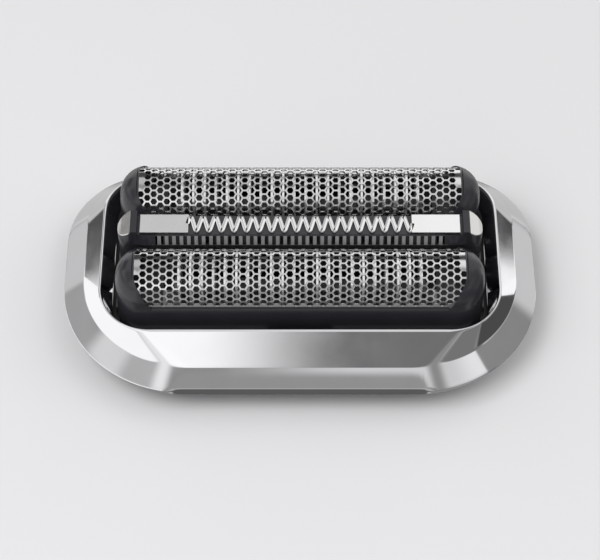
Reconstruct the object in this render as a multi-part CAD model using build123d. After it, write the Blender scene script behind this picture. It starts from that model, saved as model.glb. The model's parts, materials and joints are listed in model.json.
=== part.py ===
"""Shaver foil head: a clip-on cassette with two floating foils and a sprung middle trimmer in a bright bezel.

Millimetres. +Z points the way the head shaves, X runs along the foils, the front is at -Y.
The origin is the middle of the plug's bottom rim, which the head stands on.
"""
from build123d import *
import math
import os

# Clearances
FIT = 0.1  # between moulded pieces that are pushed together
SLIDE = 0.05  # between faces that slide on each other
RUNNING = 0.3  # between pieces that move past each other
SHEET_FIT = 0.02  # each side of a foil in its groove
BLADE_GAP = 0.18  # from the cutter blades to the foil

# Motion
FLOAT_TRAVEL = 1.5  # how far a foil or the trimmer sinks
DRIVE_STROKE = 1.1  # cutter travel to each side

# Foils and their frames
FOIL_RADIUS = 4.1  # outside of the arched foil
FOIL_SHEET = 0.12
FOIL_LENGTH = 44.6
FOIL_LEG = 1.9  # straight leg below the arch centre
FRAME_LIP = 0.3  # how far the frame stands proud of the foil
FRAME_WALL = 1.2  # side wall of a foil frame
FRAME_LENGTH = 49.6
FRAME_END_ROUND = 3.8
END_STEPS = 4  # ruled bands that make up a rounded end
WINDOW_LENGTH = 44.0  # foil that shows at the crown
WINDOW_FOOT = 39.6  # foil that shows along its lower edge
WINDOW_DROP = 0.9  # lower edge of the window below the arch centre
WINDOW_SHOULDER = 3.4  # height above the arch centre where the window starts to narrow
FOIL_FACETS = 9  # flat strips that make up the arch of a foil and of its frame
SLOT_ROWS = 7
SLOT_COLUMNS = 10
SLOT_PITCH = 4.1
SLOT_WIDTH = 2.9
SLOT_LENGTH = 0.95  # round the arch

# Cutter blocks under the foils
BLADE_COUNT = 22
BLADE_SHEET = 0.3
BLADE_HALF_WIDTH = 2.8
BLADE_SPAN = 32.2  # first blade to last, centre to centre
BLADE_SEAT_DEPTH = 2.8  # blade seat below the arch centre
BLOCK_LENGTH = 34.0
BLOCK_HALF_WIDTH = 2.4
BLOCK_RIB_HALF_WIDTH = 1.0
BLOCK_RIB_HEIGHT = 1.4

# Middle trimmer
TRIMMER_HALF_WIDTH = 2.3
TRIMMER_LENGTH = 49.4
TRIMMER_END_ROUND = 1.9
TRIMMER_WALL = 0.55
TRIMMER_CAP_LENGTH = 2.7
TRIMMER_CAP_RISE = 0.45  # cap top above the lifting blade
TRIMMER_CAP_TOP_HALF_WIDTH = 1.85
TRIMMER_CAP_SLOPE = 0.75  # how fast a cap's top falls towards its end
CAP_ARM_LENGTH = 2.5  # how far each end cap reaches along the guard's shoulders
CAP_ARM_SHEET = 0.25
CAP_ARM_DROP = 1.3  # how far down the shoulder an arm reaches
GUARD_SHEET = 0.25
GUARD_TOP_HALF_WIDTH = 1.55
GUARD_SHOULDER_DROP = 1.7
GUARD_LEG = 2.7  # straight leg below the shoulder
GUARD_SLOTS = 22
GUARD_SLOT_PITCH = 1.76
GUARD_SLOT_WIDTH = 0.88
INNER_CUTTER_GAP = 0.15
INNER_CUTTER_SHEET = 0.2
INNER_CUTTER_LEG = 0.6
INNER_CUTTER_LENGTH = 37.0
INNER_CUTTER_SLOTS = 8
INNER_CUTTER_SLOT_PITCH = 3.52
INNER_CUTTER_SLOT_WIDTH = 1.6
LIFTER_LENGTH = 43.2
LIFTER_WIDTH = 3.05
LIFTER_SHEET = 0.3
LIFTER_GAP = 0.1  # above the guard
LIFTER_WAVES = 18
LIFTER_WAVE_PITCH = 1.69
LIFTER_NOTCH_DEPTH = 2.2
LIFTER_NOTCH_MOUTH = 0.66
LIFTER_NOTCH_TIP = 0.24
SLIDER_LENGTH = 34.0
SLIDER_HALF_WIDTH = 1.4
SLIDER_WEB_HALF_WIDTH = 0.8
SLIDER_WEB_HEIGHT = 3.4
STUD_INSET = 1.3  # studs that carry the lifting blade, from the ends of the inner cutter
STUD_LENGTH = 2.0
STUD_HALF_WIDTH = 0.45

# Spacing of the three elements
ELEMENT_GAP = 0.3  # between the trimmer and a foil frame
ELEMENT_LUG_REACH = 1.2
ELEMENT_LUG_HEIGHT = 1.4
ELEMENT_LUG_ROOT = 1.9  # how far the lug's leg reaches back under the end cap
FOIL_LUG_HALF_WIDTH = 1.2
TRIMMER_LUG_HALF_WIDTH = 0.9

# Bezel, from the opening outwards and from the bottom upwards
CORNER_STRIPS = 12  # flat strips that make up each rounded corner
OPENING_GAP_END = 0.8
OPENING_GAP_SIDE = 0.9
OPENING_CORNER = 5.0
FUNNEL_RUN_END = 1.7
FUNNEL_RUN_SIDE = 0.7
RIDGE_LAND = 0.3
RIDGE_CORNER_FRONT = 7.0
RIDGE_CORNER_REAR = 5.6
CHAMFER_RUN_END = 3.0
CHAMFER_RUN_SIDE = 3.5
CREASE_CORNER_FRONT = 15.0
CREASE_CORNER_REAR = 9.5
FLARE_RUN_END = 2.7
FLARE_RUN_SIDE = 2.2
GIRTH_CORNER_FRONT = 17.5
GIRTH_CORNER_REAR = 12.0
BEZEL_FOOT_INSET = 0.5
BEZEL_WALL = 1.9
PLUG_HEIGHT = 4.0  # bezel bottom above the plug's rim
FOOT_HEIGHT = 1.2
FLARE_HEIGHT = 3.2
CHAMFER_HEIGHT = 3.5
FUNNEL_DEPTH = 2.5
LIP_SHEET = 1.0
RELIEF_LENGTH = 35.0
RELIEF_DEPTH = 0.42  # in from the girth
TRIMMER_STAND = 6.52  # lifting blade above the bezel's ridge
FOIL_STAND = 0.91  # foil crown above the lifting blade

# Chassis, base frame and drive
GUIDE_GAP = 0.4  # end cap to guide plate
GUIDE_BACK_WALL = 1.55
GUIDE_ROOF = 1.2
RAIL_ROOM = 2.1  # foil frame to the chassis side wall
CHASSIS_WALL = 1.4
CHASSIS_CORNER = 7.0
CHASSIS_OUTER_CORNER_FRONT = 11.0
CHASSIS_OUTER_CORNER_REAR = 8.0
CHASSIS_DEPTH = 3.4
FLANGE_HEIGHT = 1.0
FLANGE_INSET = 0.8
PLUG_WALL = 1.4
PLUG_CORNER_FRONT = 8.0
PLUG_CORNER_REAR = 6.0
LATCH_WINDOW_WIDTH = 7.0
LATCH_WINDOW_HEIGHT = 2.0
LATCH_WINDOW_SILL = 1.2
RAIL_LENGTH = 18.0
RAIL_REACH = 1.3
BRIDGE_SHEET = 1.45
BRIDGE_BEAM_WIDTH = 9.0
FOIL_ARM_LENGTH = 27.0
FOIL_ARM_WIDTH = 3.6
TRIMMER_ARM_LENGTH = 18.0
TRIMMER_ARM_WIDTH = 2.6
HUB_HALF_WIDTH = 2.8
HUB_DROP = 3.4
SOCKET_RADIUS = 1.6
SOCKET_DEPTH = 3.2
POST_LENGTH = 3.2
POST_ENGAGEMENT = 1.8
FOIL_POST_HALF_WIDTH = 1.1
TRIMMER_POST_HALF_WIDTH = 0.75
POST_SIDE_GAP = 0.25
FOIL_SPRING_OFFSET = 11.0
FOIL_SPRING_RADIUS = 1.5
FOIL_SPRING_POCKET = 1.4
TRIMMER_SPRING_OFFSET = 7.0
TRIMMER_SPRING_RADIUS = 0.85
TRIMMER_SPRING_POCKET = 1.6
SPRING_WIRE = 0.28
SPRING_TURNS = 2.5
SPRING_CORNERS = 6  # straight runs in one turn of the wire
SPRING_POCKET_GAP = 0.2
SPRING_PEG_HEIGHT = 0.9

# Widths worked out from the elements outwards
FRAME_HALF_WIDTH = FOIL_RADIUS + FRAME_LIP
FOIL_OFFSET = TRIMMER_HALF_WIDTH + ELEMENT_GAP + FRAME_HALF_WIDTH
ELEMENT_HALF_LENGTH = max(FRAME_LENGTH, TRIMMER_LENGTH) / 2
ELEMENT_HALF_DEPTH = FOIL_OFFSET + FRAME_HALF_WIDTH
LIP_HALF_LENGTH = ELEMENT_HALF_LENGTH + OPENING_GAP_END
LIP_HALF_DEPTH = ELEMENT_HALF_DEPTH + OPENING_GAP_SIDE
RIDGE_HALF_LENGTH = LIP_HALF_LENGTH + FUNNEL_RUN_END
RIDGE_HALF_DEPTH = LIP_HALF_DEPTH + FUNNEL_RUN_SIDE
CREASE_HALF_LENGTH = RIDGE_HALF_LENGTH + CHAMFER_RUN_END
CREASE_HALF_DEPTH = RIDGE_HALF_DEPTH + CHAMFER_RUN_SIDE
GIRTH_HALF_LENGTH = CREASE_HALF_LENGTH + FLARE_RUN_END
GIRTH_HALF_DEPTH = CREASE_HALF_DEPTH + FLARE_RUN_SIDE
FOOT_HALF_LENGTH = GIRTH_HALF_LENGTH - BEZEL_FOOT_INSET
FOOT_HALF_DEPTH = GIRTH_HALF_DEPTH - BEZEL_FOOT_INSET
GUIDE_FACE = ELEMENT_HALF_LENGTH + GUIDE_GAP
LUG_END = ELEMENT_HALF_LENGTH + ELEMENT_LUG_REACH
GROOVE_END = LUG_END + RUNNING
CHASSIS_HALF_LENGTH = GROOVE_END + GUIDE_BACK_WALL
CHASSIS_INNER_HALF_DEPTH = ELEMENT_HALF_DEPTH + RAIL_ROOM
CHASSIS_HALF_DEPTH = CHASSIS_INNER_HALF_DEPTH + CHASSIS_WALL
CAVITY_HALF_LENGTH = CHASSIS_HALF_LENGTH + FIT
CAVITY_HALF_DEPTH = CHASSIS_HALF_DEPTH + FIT
STUD_OFFSET = INNER_CUTTER_LENGTH / 2 - STUD_INSET

# Heights
BEZEL_BOTTOM = PLUG_HEIGHT
GIRTH_Z = BEZEL_BOTTOM + FOOT_HEIGHT
CREASE_Z = GIRTH_Z + FLARE_HEIGHT
RIDGE_Z = CREASE_Z + CHAMFER_HEIGHT
LIP_Z = RIDGE_Z - FUNNEL_DEPTH
LEDGE_Z = LIP_Z - LIP_SHEET
LIFTER_TOP = RIDGE_Z + TRIMMER_STAND
FOIL_CROWN = LIFTER_TOP + FOIL_STAND
ARCH_Z = FOIL_CROWN - FOIL_RADIUS
GUARD_TOP = LIFTER_TOP - LIFTER_SHEET - LIFTER_GAP
GUARD_SHOULDER = GUARD_TOP - GUARD_SHOULDER_DROP
GUARD_BOTTOM = GUARD_SHOULDER - GUARD_LEG
CHASSIS_BOTTOM = LEDGE_Z - CHASSIS_DEPTH
BRIDGE_BOTTOM = CHASSIS_BOTTOM + SLIDE
BRIDGE_TOP = BRIDGE_BOTTOM + BRIDGE_SHEET
ELEMENT_BOTTOM = BRIDGE_TOP + FLOAT_TRAVEL + RUNNING
GUIDE_ROOF_Z = LEDGE_Z - GUIDE_ROOF
LUG_TOP = GUIDE_ROOF_Z - FIT
LUG_BOTTOM = LUG_TOP - ELEMENT_LUG_HEIGHT
BLADE_SEAT = ARCH_Z - BLADE_SEAT_DEPTH
POST_TOP = ELEMENT_BOTTOM + POST_ENGAGEMENT
POST_POCKET_TOP = POST_TOP + FLOAT_TRAVEL + RUNNING
HUB_BOTTOM = BRIDGE_BOTTOM - HUB_DROP


def block(x0, x1, y0, y1, z0, z1):
    """A box between two corners."""
    centre = Pos((x0 + x1) / 2, (y0 + y1) / 2, (z0 + z1) / 2)
    return centre * Box(abs(x1 - x0), abs(y1 - y0), abs(z1 - z0))


def outline(half_length, half_depth, front_corner, rear_corner):
    """Points of a rounded rectangle in plan, with its own front and rear corners in flat strips."""
    corners = [
        (half_length - rear_corner, half_depth - rear_corner, rear_corner),
        (rear_corner - half_length, half_depth - rear_corner, rear_corner),
        (front_corner - half_length, front_corner - half_depth, front_corner),
        (half_length - front_corner, front_corner - half_depth, front_corner),
    ]
    points = []
    for quarter, (x, y, radius) in enumerate(corners):
        for i in range(CORNER_STRIPS + 1):
            turn = math.pi / 2 * (quarter + i / CORNER_STRIPS)
            points.append((x + radius * math.cos(turn), y + radius * math.sin(turn)))
    return points


def level(half_length, half_depth, front_corner, rear_corner, z):
    """The same outline as a ring of points at height z."""
    return [(x, y, z) for x, y in outline(half_length, half_depth, front_corner, rear_corner)]


def prism(half_length, half_depth, front_corner, rear_corner, z0, z1):
    """The same outline standing from z0 to z1."""
    face = Polygon(*outline(half_length, half_depth, front_corner, rear_corner), align=None)
    return extrude(Pos(0, 0, z0) * face, z1 - z0)


def skin(rings, endless=False):
    """A solid of flat bands from each ring of points to the next, and back to the first if it is endless."""
    pairs = list(zip(rings, rings[1:]))
    faces = []
    if endless:
        pairs.append((rings[-1], rings[0]))
    else:
        faces = [Face(Wire.make_polygon(ring)) for ring in (rings[0], rings[-1])]
    for near, far in pairs:
        for i in range(len(near)):
            faces.append(Face(Wire.make_polygon([near[i - 1], near[i], far[i], far[i - 1]])))
    return Solid(Shell(faces)).clean()


def arch_points(half_width, bottom):
    """A section in Y and Z: straight sides with a half round of that width on top, in flat strips."""
    points = [(-half_width, bottom)]
    for i in range(FOIL_FACETS + 1):
        turn = math.pi * (1 - i / FOIL_FACETS)
        points.append((half_width * math.cos(turn), ARCH_Z + half_width * math.sin(turn)))
    points.append((half_width, bottom))
    return points


def arch(half_width, bottom):
    """The same section as a face."""
    return Polygon(*arch_points(half_width, bottom), align=None)


def along_x(section, length):
    """A section in Y and Z, run along X about the middle."""
    return extrude(Plane.YZ * section, length / 2, both=True)


def rounded_bar(points_at, length, end_round):
    """A bar along X whose section shrinks round a quarter circle towards both ends."""
    rings = []
    for i in range(END_STEPS + 1):
        turn = math.pi / 2 * (1 - i / END_STEPS)
        x = length / 2 - end_round * (1 - math.sin(turn))
        rings.append([(x, y, z) for y, z in points_at(end_round * (1 - math.cos(turn)))])
    far_end = [[(-x, y, z) for x, y, z in ring] for ring in reversed(rings)]
    return skin(rings + far_end)


def spread(count, pitch):
    """Places of a row of that count and pitch about the middle."""
    return [(i - (count - 1) / 2) * pitch for i in range(count)]


# Bezel
def make_bezel():
    foot = level(
        FOOT_HALF_LENGTH,
        FOOT_HALF_DEPTH,
        GIRTH_CORNER_FRONT - BEZEL_FOOT_INSET,
        GIRTH_CORNER_REAR - BEZEL_FOOT_INSET,
        BEZEL_BOTTOM,
    )
    girth = level(GIRTH_HALF_LENGTH, GIRTH_HALF_DEPTH, GIRTH_CORNER_FRONT, GIRTH_CORNER_REAR, GIRTH_Z)
    crease = level(CREASE_HALF_LENGTH, CREASE_HALF_DEPTH, CREASE_CORNER_FRONT, CREASE_CORNER_REAR, CREASE_Z)
    ridge = level(RIDGE_HALF_LENGTH, RIDGE_HALF_DEPTH, RIDGE_CORNER_FRONT, RIDGE_CORNER_REAR, RIDGE_Z)
    ridge_inner = level(
        RIDGE_HALF_LENGTH - RIDGE_LAND,
        RIDGE_HALF_DEPTH - RIDGE_LAND,
        RIDGE_CORNER_FRONT - RIDGE_LAND,
        RIDGE_CORNER_REAR - RIDGE_LAND,
        RIDGE_Z,
    )
    lip = level(LIP_HALF_LENGTH, LIP_HALF_DEPTH, OPENING_CORNER, OPENING_CORNER, LIP_Z)
    lip_underside = level(LIP_HALF_LENGTH, LIP_HALF_DEPTH, OPENING_CORNER, OPENING_CORNER, LEDGE_Z)
    cavity_top = level(
        CAVITY_HALF_LENGTH,
        CAVITY_HALF_DEPTH,
        CHASSIS_OUTER_CORNER_FRONT + FIT,
        CHASSIS_OUTER_CORNER_REAR + FIT,
        LEDGE_Z,
    )
    cavity_foot = level(
        FOOT_HALF_LENGTH - BEZEL_WALL,
        FOOT_HALF_DEPTH - BEZEL_WALL,
        GIRTH_CORNER_FRONT - BEZEL_FOOT_INSET - BEZEL_WALL,
        GIRTH_CORNER_REAR - BEZEL_FOOT_INSET - BEZEL_WALL,
        BEZEL_BOTTOM,
    )
    outside = [foot, girth, crease, ridge]
    inside = [ridge_inner, lip, lip_underside, cavity_top, cavity_foot]
    shell = skin(outside + inside, endless=True)
    for side in (-1, 1):
        face = side * GIRTH_HALF_DEPTH
        shell -= block(
            -RELIEF_LENGTH / 2,
            RELIEF_LENGTH / 2,
            face - side * RELIEF_DEPTH,
            face + side * RELIEF_DEPTH,
            BEZEL_BOTTOM,
            CREASE_Z,
        )
    return shell


# Chassis that guides the elements, and the base frame that plugs into the shaver
def make_chassis():
    ring = prism(
        CHASSIS_HALF_LENGTH,
        CHASSIS_HALF_DEPTH,
        CHASSIS_OUTER_CORNER_FRONT,
        CHASSIS_OUTER_CORNER_REAR,
        CHASSIS_BOTTOM,
        LEDGE_Z,
    )
    ring -= prism(
        GUIDE_FACE, CHASSIS_INNER_HALF_DEPTH, CHASSIS_CORNER, CHASSIS_CORNER, CHASSIS_BOTTOM, LEDGE_Z
    )
    lugs = {
        -FOIL_OFFSET: FOIL_LUG_HALF_WIDTH,
        0: TRIMMER_LUG_HALF_WIDTH,
        FOIL_OFFSET: FOIL_LUG_HALF_WIDTH,
    }
    for side in (-1, 1):
        for y, half_width in lugs.items():
            reach = half_width + FIT
            ring -= block(
                side * (GUIDE_FACE - GUIDE_GAP),
                side * GROOVE_END,
                y - reach,
                y + reach,
                CHASSIS_BOTTOM,
                GUIDE_ROOF_Z,
            )
        wall = side * CHASSIS_INNER_HALF_DEPTH
        ring += block(
            -RAIL_LENGTH / 2,
            RAIL_LENGTH / 2,
            wall - side * RAIL_REACH,
            wall + side * CHASSIS_WALL / 2,
            BRIDGE_TOP + 2 * SLIDE,
            LEDGE_Z - LIP_SHEET,
        )
    return ring


def make_base_frame():
    flange = prism(
        FOOT_HALF_LENGTH - BEZEL_WALL - FLANGE_INSET,
        FOOT_HALF_DEPTH - BEZEL_WALL - FLANGE_INSET,
        GIRTH_CORNER_FRONT - BEZEL_FOOT_INSET - BEZEL_WALL - FLANGE_INSET,
        GIRTH_CORNER_REAR - BEZEL_FOOT_INSET - BEZEL_WALL - FLANGE_INSET,
        CHASSIS_BOTTOM - FLANGE_HEIGHT,
        CHASSIS_BOTTOM,
    )
    frame = flange + prism(
        CHASSIS_HALF_LENGTH,
        CHASSIS_HALF_DEPTH,
        CHASSIS_OUTER_CORNER_FRONT,
        CHASSIS_OUTER_CORNER_REAR,
        0,
        CHASSIS_BOTTOM,
    )
    frame -= prism(
        CHASSIS_HALF_LENGTH - PLUG_WALL,
        CHASSIS_HALF_DEPTH - PLUG_WALL,
        PLUG_CORNER_FRONT,
        PLUG_CORNER_REAR,
        0,
        CHASSIS_BOTTOM,
    )
    for side in (-1, 1):
        wall = side * (CHASSIS_HALF_DEPTH - PLUG_WALL)
        frame += block(
            -RAIL_LENGTH / 2,
            RAIL_LENGTH / 2,
            wall - side * RAIL_REACH,
            wall + side * PLUG_WALL / 2,
            CHASSIS_BOTTOM - FLANGE_HEIGHT,
            CHASSIS_BOTTOM,
        )
        frame -= block(
            side * (CHASSIS_HALF_LENGTH - 2 * PLUG_WALL),
            side * (CHASSIS_HALF_LENGTH + PLUG_WALL),
            -LATCH_WINDOW_WIDTH / 2,
            LATCH_WINDOW_WIDTH / 2,
            LATCH_WINDOW_SILL,
            LATCH_WINDOW_SILL + LATCH_WINDOW_HEIGHT,
        )
    return frame


# Floating foils
def lugs_at_ends(half_length, half_width):
    """A lug below each end cap, which runs in the chassis groove and stops under its roof."""
    root = half_length - ELEMENT_LUG_ROOT
    leg = block(root, half_length, -half_width, half_width, LUG_BOTTOM, ELEMENT_BOTTOM)
    lug = block(root, LUG_END, -half_width, half_width, LUG_BOTTOM, LUG_TOP)
    one_end = leg + lug
    return one_end + mirror(one_end, about=Plane.YZ)


def make_foil_frame():
    frame = rounded_bar(
        lambda shrink: arch_points(FRAME_HALF_WIDTH - shrink, ELEMENT_BOTTOM), FRAME_LENGTH, FRAME_END_ROUND
    )
    inside = FRAME_HALF_WIDTH - FRAME_WALL
    bay = BLOCK_LENGTH / 2 + DRIVE_STROKE + RUNNING
    sill = ARCH_Z - FOIL_LEG - SHEET_FIT
    frame -= block(-bay, bay, -inside, inside, ELEMENT_BOTTOM, sill)
    frame -= along_x(arch(FOIL_RADIUS + SHEET_FIT, sill), FOIL_LENGTH + 2 * SHEET_FIT)
    top, shoulder, foot = FOIL_CROWN + 2 * FRAME_LIP, ARCH_Z + WINDOW_SHOULDER, ARCH_Z - WINDOW_DROP
    half_crown, half_foot = WINDOW_LENGTH / 2, WINDOW_FOOT / 2
    window = Polygon(
        (-half_crown, top),
        (-half_crown, shoulder),
        (-half_foot, foot),
        (half_foot, foot),
        (half_crown, shoulder),
        (half_crown, top),
        align=None,
    )
    frame -= extrude(Plane.XZ * window, 2 * FRAME_HALF_WIDTH, both=True)
    return frame + lugs_at_ends(FRAME_LENGTH / 2, FOIL_LUG_HALF_WIDTH)


def make_foil():
    low = ARCH_Z - FOIL_LEG
    foil = along_x(arch(FOIL_RADIUS, low) - arch(FOIL_RADIUS - FOIL_SHEET, low), FOIL_LENGTH)
    slots = []
    for row, angle in enumerate(spread(SLOT_ROWS, 180 / FOIL_FACETS)):
        stagger = (row % 2 - 0.5) * SLOT_PITCH / 2
        for x in spread(SLOT_COLUMNS, SLOT_PITCH):
            place = Pos(x + stagger, 0, ARCH_Z) * Rot(angle, 0, 0) * Pos(0, 0, FOIL_RADIUS)
            slots.append(place * Box(SLOT_WIDTH, SLOT_LENGTH, FOIL_RADIUS / 2))
    return foil - slots


# Cutters that run under the foils
def make_cutter_block():
    half = BLOCK_LENGTH / 2
    body = block(-half, half, -BLOCK_HALF_WIDTH, BLOCK_HALF_WIDTH, ELEMENT_BOTTOM, BLADE_SEAT)
    body += block(
        -half, half, -BLOCK_RIB_HALF_WIDTH, BLOCK_RIB_HALF_WIDTH, BLADE_SEAT, BLADE_SEAT + BLOCK_RIB_HEIGHT
    )
    body -= post_pocket(FOIL_POST_HALF_WIDTH)
    return body - spring_pockets(FOIL_SPRING_OFFSET, FOIL_SPRING_RADIUS, FOIL_SPRING_POCKET)


def make_cutter_blades(y):
    radius = FOIL_RADIUS - FOIL_SHEET - BLADE_GAP
    reach = 2 * radius
    keep = Pos(0, BLADE_SEAT + reach / 2) * Rectangle(2 * BLADE_HALF_WIDTH, reach)
    notch = Pos(0, BLADE_SEAT + BLOCK_RIB_HEIGHT / 2) * Rectangle(2 * BLOCK_RIB_HALF_WIDTH, BLOCK_RIB_HEIGHT)
    blade = along_x((arch(radius, BLADE_SEAT) & keep) - notch, BLADE_SHEET)
    pitch = BLADE_SPAN / (BLADE_COUNT - 1)
    return Compound(children=[Pos(x, y, 0) * blade for x in spread(BLADE_COUNT, pitch)])


def post_pocket(post_half_width):
    """Pocket that a drive post of the bridge stands in."""
    half_length = POST_LENGTH / 2 + SLIDE
    half_width = post_half_width + POST_SIDE_GAP
    return block(-half_length, half_length, -half_width, half_width, ELEMENT_BOTTOM, POST_POCKET_TOP)


def spring_pockets(offset, radius, depth):
    """The two square blind holes that springs push up into."""
    half = radius + SPRING_POCKET_GAP
    low, high = ELEMENT_BOTTOM, ELEMENT_BOTTOM + depth
    return [block(x - half, x + half, -half, half, low, high) for x in (-offset, offset)]


# Middle trimmer
def channel(inset, bottom):
    """The trimmer's folded section, set in from the guard's outside by inset and cut off at bottom."""
    points = [
        (-TRIMMER_HALF_WIDTH, bottom - inset),
        (-TRIMMER_HALF_WIDTH, GUARD_SHOULDER),
        (-GUARD_TOP_HALF_WIDTH, GUARD_TOP),
        (GUARD_TOP_HALF_WIDTH, GUARD_TOP),
        (TRIMMER_HALF_WIDTH, GUARD_SHOULDER),
        (TRIMMER_HALF_WIDTH, bottom - inset),
    ]
    outside = Polygon(*points, align=None)
    return offset(outside, -inset, kind=Kind.INTERSECTION) if inset else outside


def comb_slots(count, pitch, width, inset):
    """Boxes that open both shoulders of a folded section at once."""
    top = GUARD_TOP - inset - GUARD_SHEET
    return [
        block(
            x - width / 2, x + width / 2, -2 * TRIMMER_HALF_WIDTH, 2 * TRIMMER_HALF_WIDTH, GUARD_SHOULDER, top
        )
        for x in spread(count, pitch)
    ]


def make_trimmer_guard():
    length = TRIMMER_LENGTH - 2 * TRIMMER_CAP_LENGTH
    guard = along_x(channel(0, GUARD_BOTTOM) - channel(GUARD_SHEET, GUARD_BOTTOM), length)
    guard -= comb_slots(GUARD_SLOTS, GUARD_SLOT_PITCH, GUARD_SLOT_WIDTH, 0)
    half_slot = STUD_LENGTH / 2 + DRIVE_STROKE + RUNNING
    half_width = STUD_HALF_WIDTH + SLIDE
    for x in (-STUD_OFFSET, STUD_OFFSET):
        guard -= block(
            x - half_slot, x + half_slot, -half_width, half_width, GUARD_TOP - 2 * GUARD_SHEET, GUARD_TOP
        )
    return guard


def make_trimmer_inner_cutter():
    inset = GUARD_SHEET + INNER_CUTTER_GAP
    bottom = GUARD_SHOULDER - INNER_CUTTER_LEG
    section = channel(inset, bottom) - channel(inset + INNER_CUTTER_SHEET, bottom)
    cutter = along_x(section, INNER_CUTTER_LENGTH)
    cutter -= comb_slots(INNER_CUTTER_SLOTS, INNER_CUTTER_SLOT_PITCH, INNER_CUTTER_SLOT_WIDTH, inset)
    for x in (-STUD_OFFSET, STUD_OFFSET):
        cutter -= block(
            x - STUD_LENGTH / 2,
            x + STUD_LENGTH / 2,
            -STUD_HALF_WIDTH,
            STUD_HALF_WIDTH,
            GUARD_SHOULDER,
            GUARD_TOP,
        )
    return cutter


def make_trimmer_frame():
    cap_top = LIFTER_TOP + TRIMMER_CAP_RISE
    slope = (TRIMMER_HALF_WIDTH - TRIMMER_CAP_TOP_HALF_WIDTH) / (cap_top - GUARD_SHOULDER)

    def points_at(shrink):
        run = math.sqrt(shrink * (2 * TRIMMER_END_ROUND - shrink))
        side, top = TRIMMER_HALF_WIDTH - shrink, cap_top - TRIMMER_CAP_SLOPE * run
        crown = side - slope * (top - GUARD_SHOULDER)
        right = [(crown, top), (side, GUARD_SHOULDER), (side, ELEMENT_BOTTOM)]
        return [(-y, z) for y, z in reversed(right)] + right

    frame = rounded_bar(points_at, TRIMMER_LENGTH, TRIMMER_END_ROUND)
    inner = TRIMMER_LENGTH / 2 - TRIMMER_CAP_LENGTH
    wide = 2 * TRIMMER_HALF_WIDTH
    frame -= block(-inner, inner, -wide, wide, GUARD_BOTTOM, cap_top)
    bay = min(inner, SLIDER_LENGTH / 2 + DRIVE_STROKE + RUNNING)
    inside = TRIMMER_HALF_WIDTH - TRIMMER_WALL
    frame -= block(-bay, bay, -inside, inside, ELEMENT_BOTTOM, GUARD_BOTTOM)
    run = LIFTER_LENGTH / 2 + DRIVE_STROKE + RUNNING
    pocket_half_width = LIFTER_WIDTH / 2 + FIT
    frame -= block(
        -run, run, -pocket_half_width, pocket_half_width, GUARD_TOP, LIFTER_TOP + FIT
    )
    arms = channel(-CAP_ARM_SHEET - SHEET_FIT, GUARD_BOTTOM) - channel(-SHEET_FIT, GUARD_BOTTOM)
    arm_middle = GUARD_TOP - CAP_ARM_DROP / 2
    arms &= Pos(0, arm_middle + CAP_ARM_SHEET) * Rectangle(wide, CAP_ARM_DROP + 2 * CAP_ARM_SHEET)
    arms -= Pos(0, arm_middle) * Rectangle(2 * pocket_half_width, 4 * CAP_ARM_DROP)
    run_of_arms = along_x(arms, 2 * inner)
    frame += run_of_arms - block(
        CAP_ARM_LENGTH - inner, inner - CAP_ARM_LENGTH, -wide, wide, GUARD_BOTTOM, cap_top
    )
    return frame + lugs_at_ends(TRIMMER_LENGTH / 2, TRIMMER_LUG_HALF_WIDTH)


def make_trimmer_slider():
    half = SLIDER_LENGTH / 2
    inset = GUARD_SHEET + INNER_CUTTER_GAP + INNER_CUTTER_SHEET
    top = GUARD_TOP - inset
    body = block(
        -half, half, -SLIDER_HALF_WIDTH, SLIDER_HALF_WIDTH, ELEMENT_BOTTOM, top - SLIDER_WEB_HEIGHT
    )
    web = INNER_CUTTER_LENGTH / 2
    body += block(
        -web, web, -SLIDER_WEB_HALF_WIDTH, SLIDER_WEB_HALF_WIDTH, top - SLIDER_WEB_HEIGHT, top
    )
    for x in (-STUD_OFFSET, STUD_OFFSET):
        body += block(
            x - STUD_LENGTH / 2,
            x + STUD_LENGTH / 2,
            -STUD_HALF_WIDTH,
            STUD_HALF_WIDTH,
            top,
            LIFTER_TOP - LIFTER_SHEET,
        )
    body -= post_pocket(TRIMMER_POST_HALF_WIDTH)
    return body - spring_pockets(TRIMMER_SPRING_OFFSET, TRIMMER_SPRING_RADIUS, TRIMMER_SPRING_POCKET)


def make_lifting_blade():
    half_width = LIFTER_WIDTH / 2
    strip = Rectangle(LIFTER_LENGTH, LIFTER_WIDTH)
    mouth, tip = LIFTER_NOTCH_MOUTH / 2, LIFTER_NOTCH_TIP / 2
    floor = half_width - LIFTER_NOTCH_DEPTH
    notch = Polygon((-mouth, half_width), (-tip, floor), (tip, floor), (mouth, half_width), align=None)
    for x in spread(LIFTER_WAVES, LIFTER_WAVE_PITCH):
        strip -= Pos(x - LIFTER_WAVE_PITCH / 4, 0) * notch
        strip -= Pos(x + LIFTER_WAVE_PITCH / 4, 0) * Rot(0, 0, 180) * notch
    return extrude(Pos(0, 0, LIFTER_TOP - LIFTER_SHEET) * strip, LIFTER_SHEET)


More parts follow.
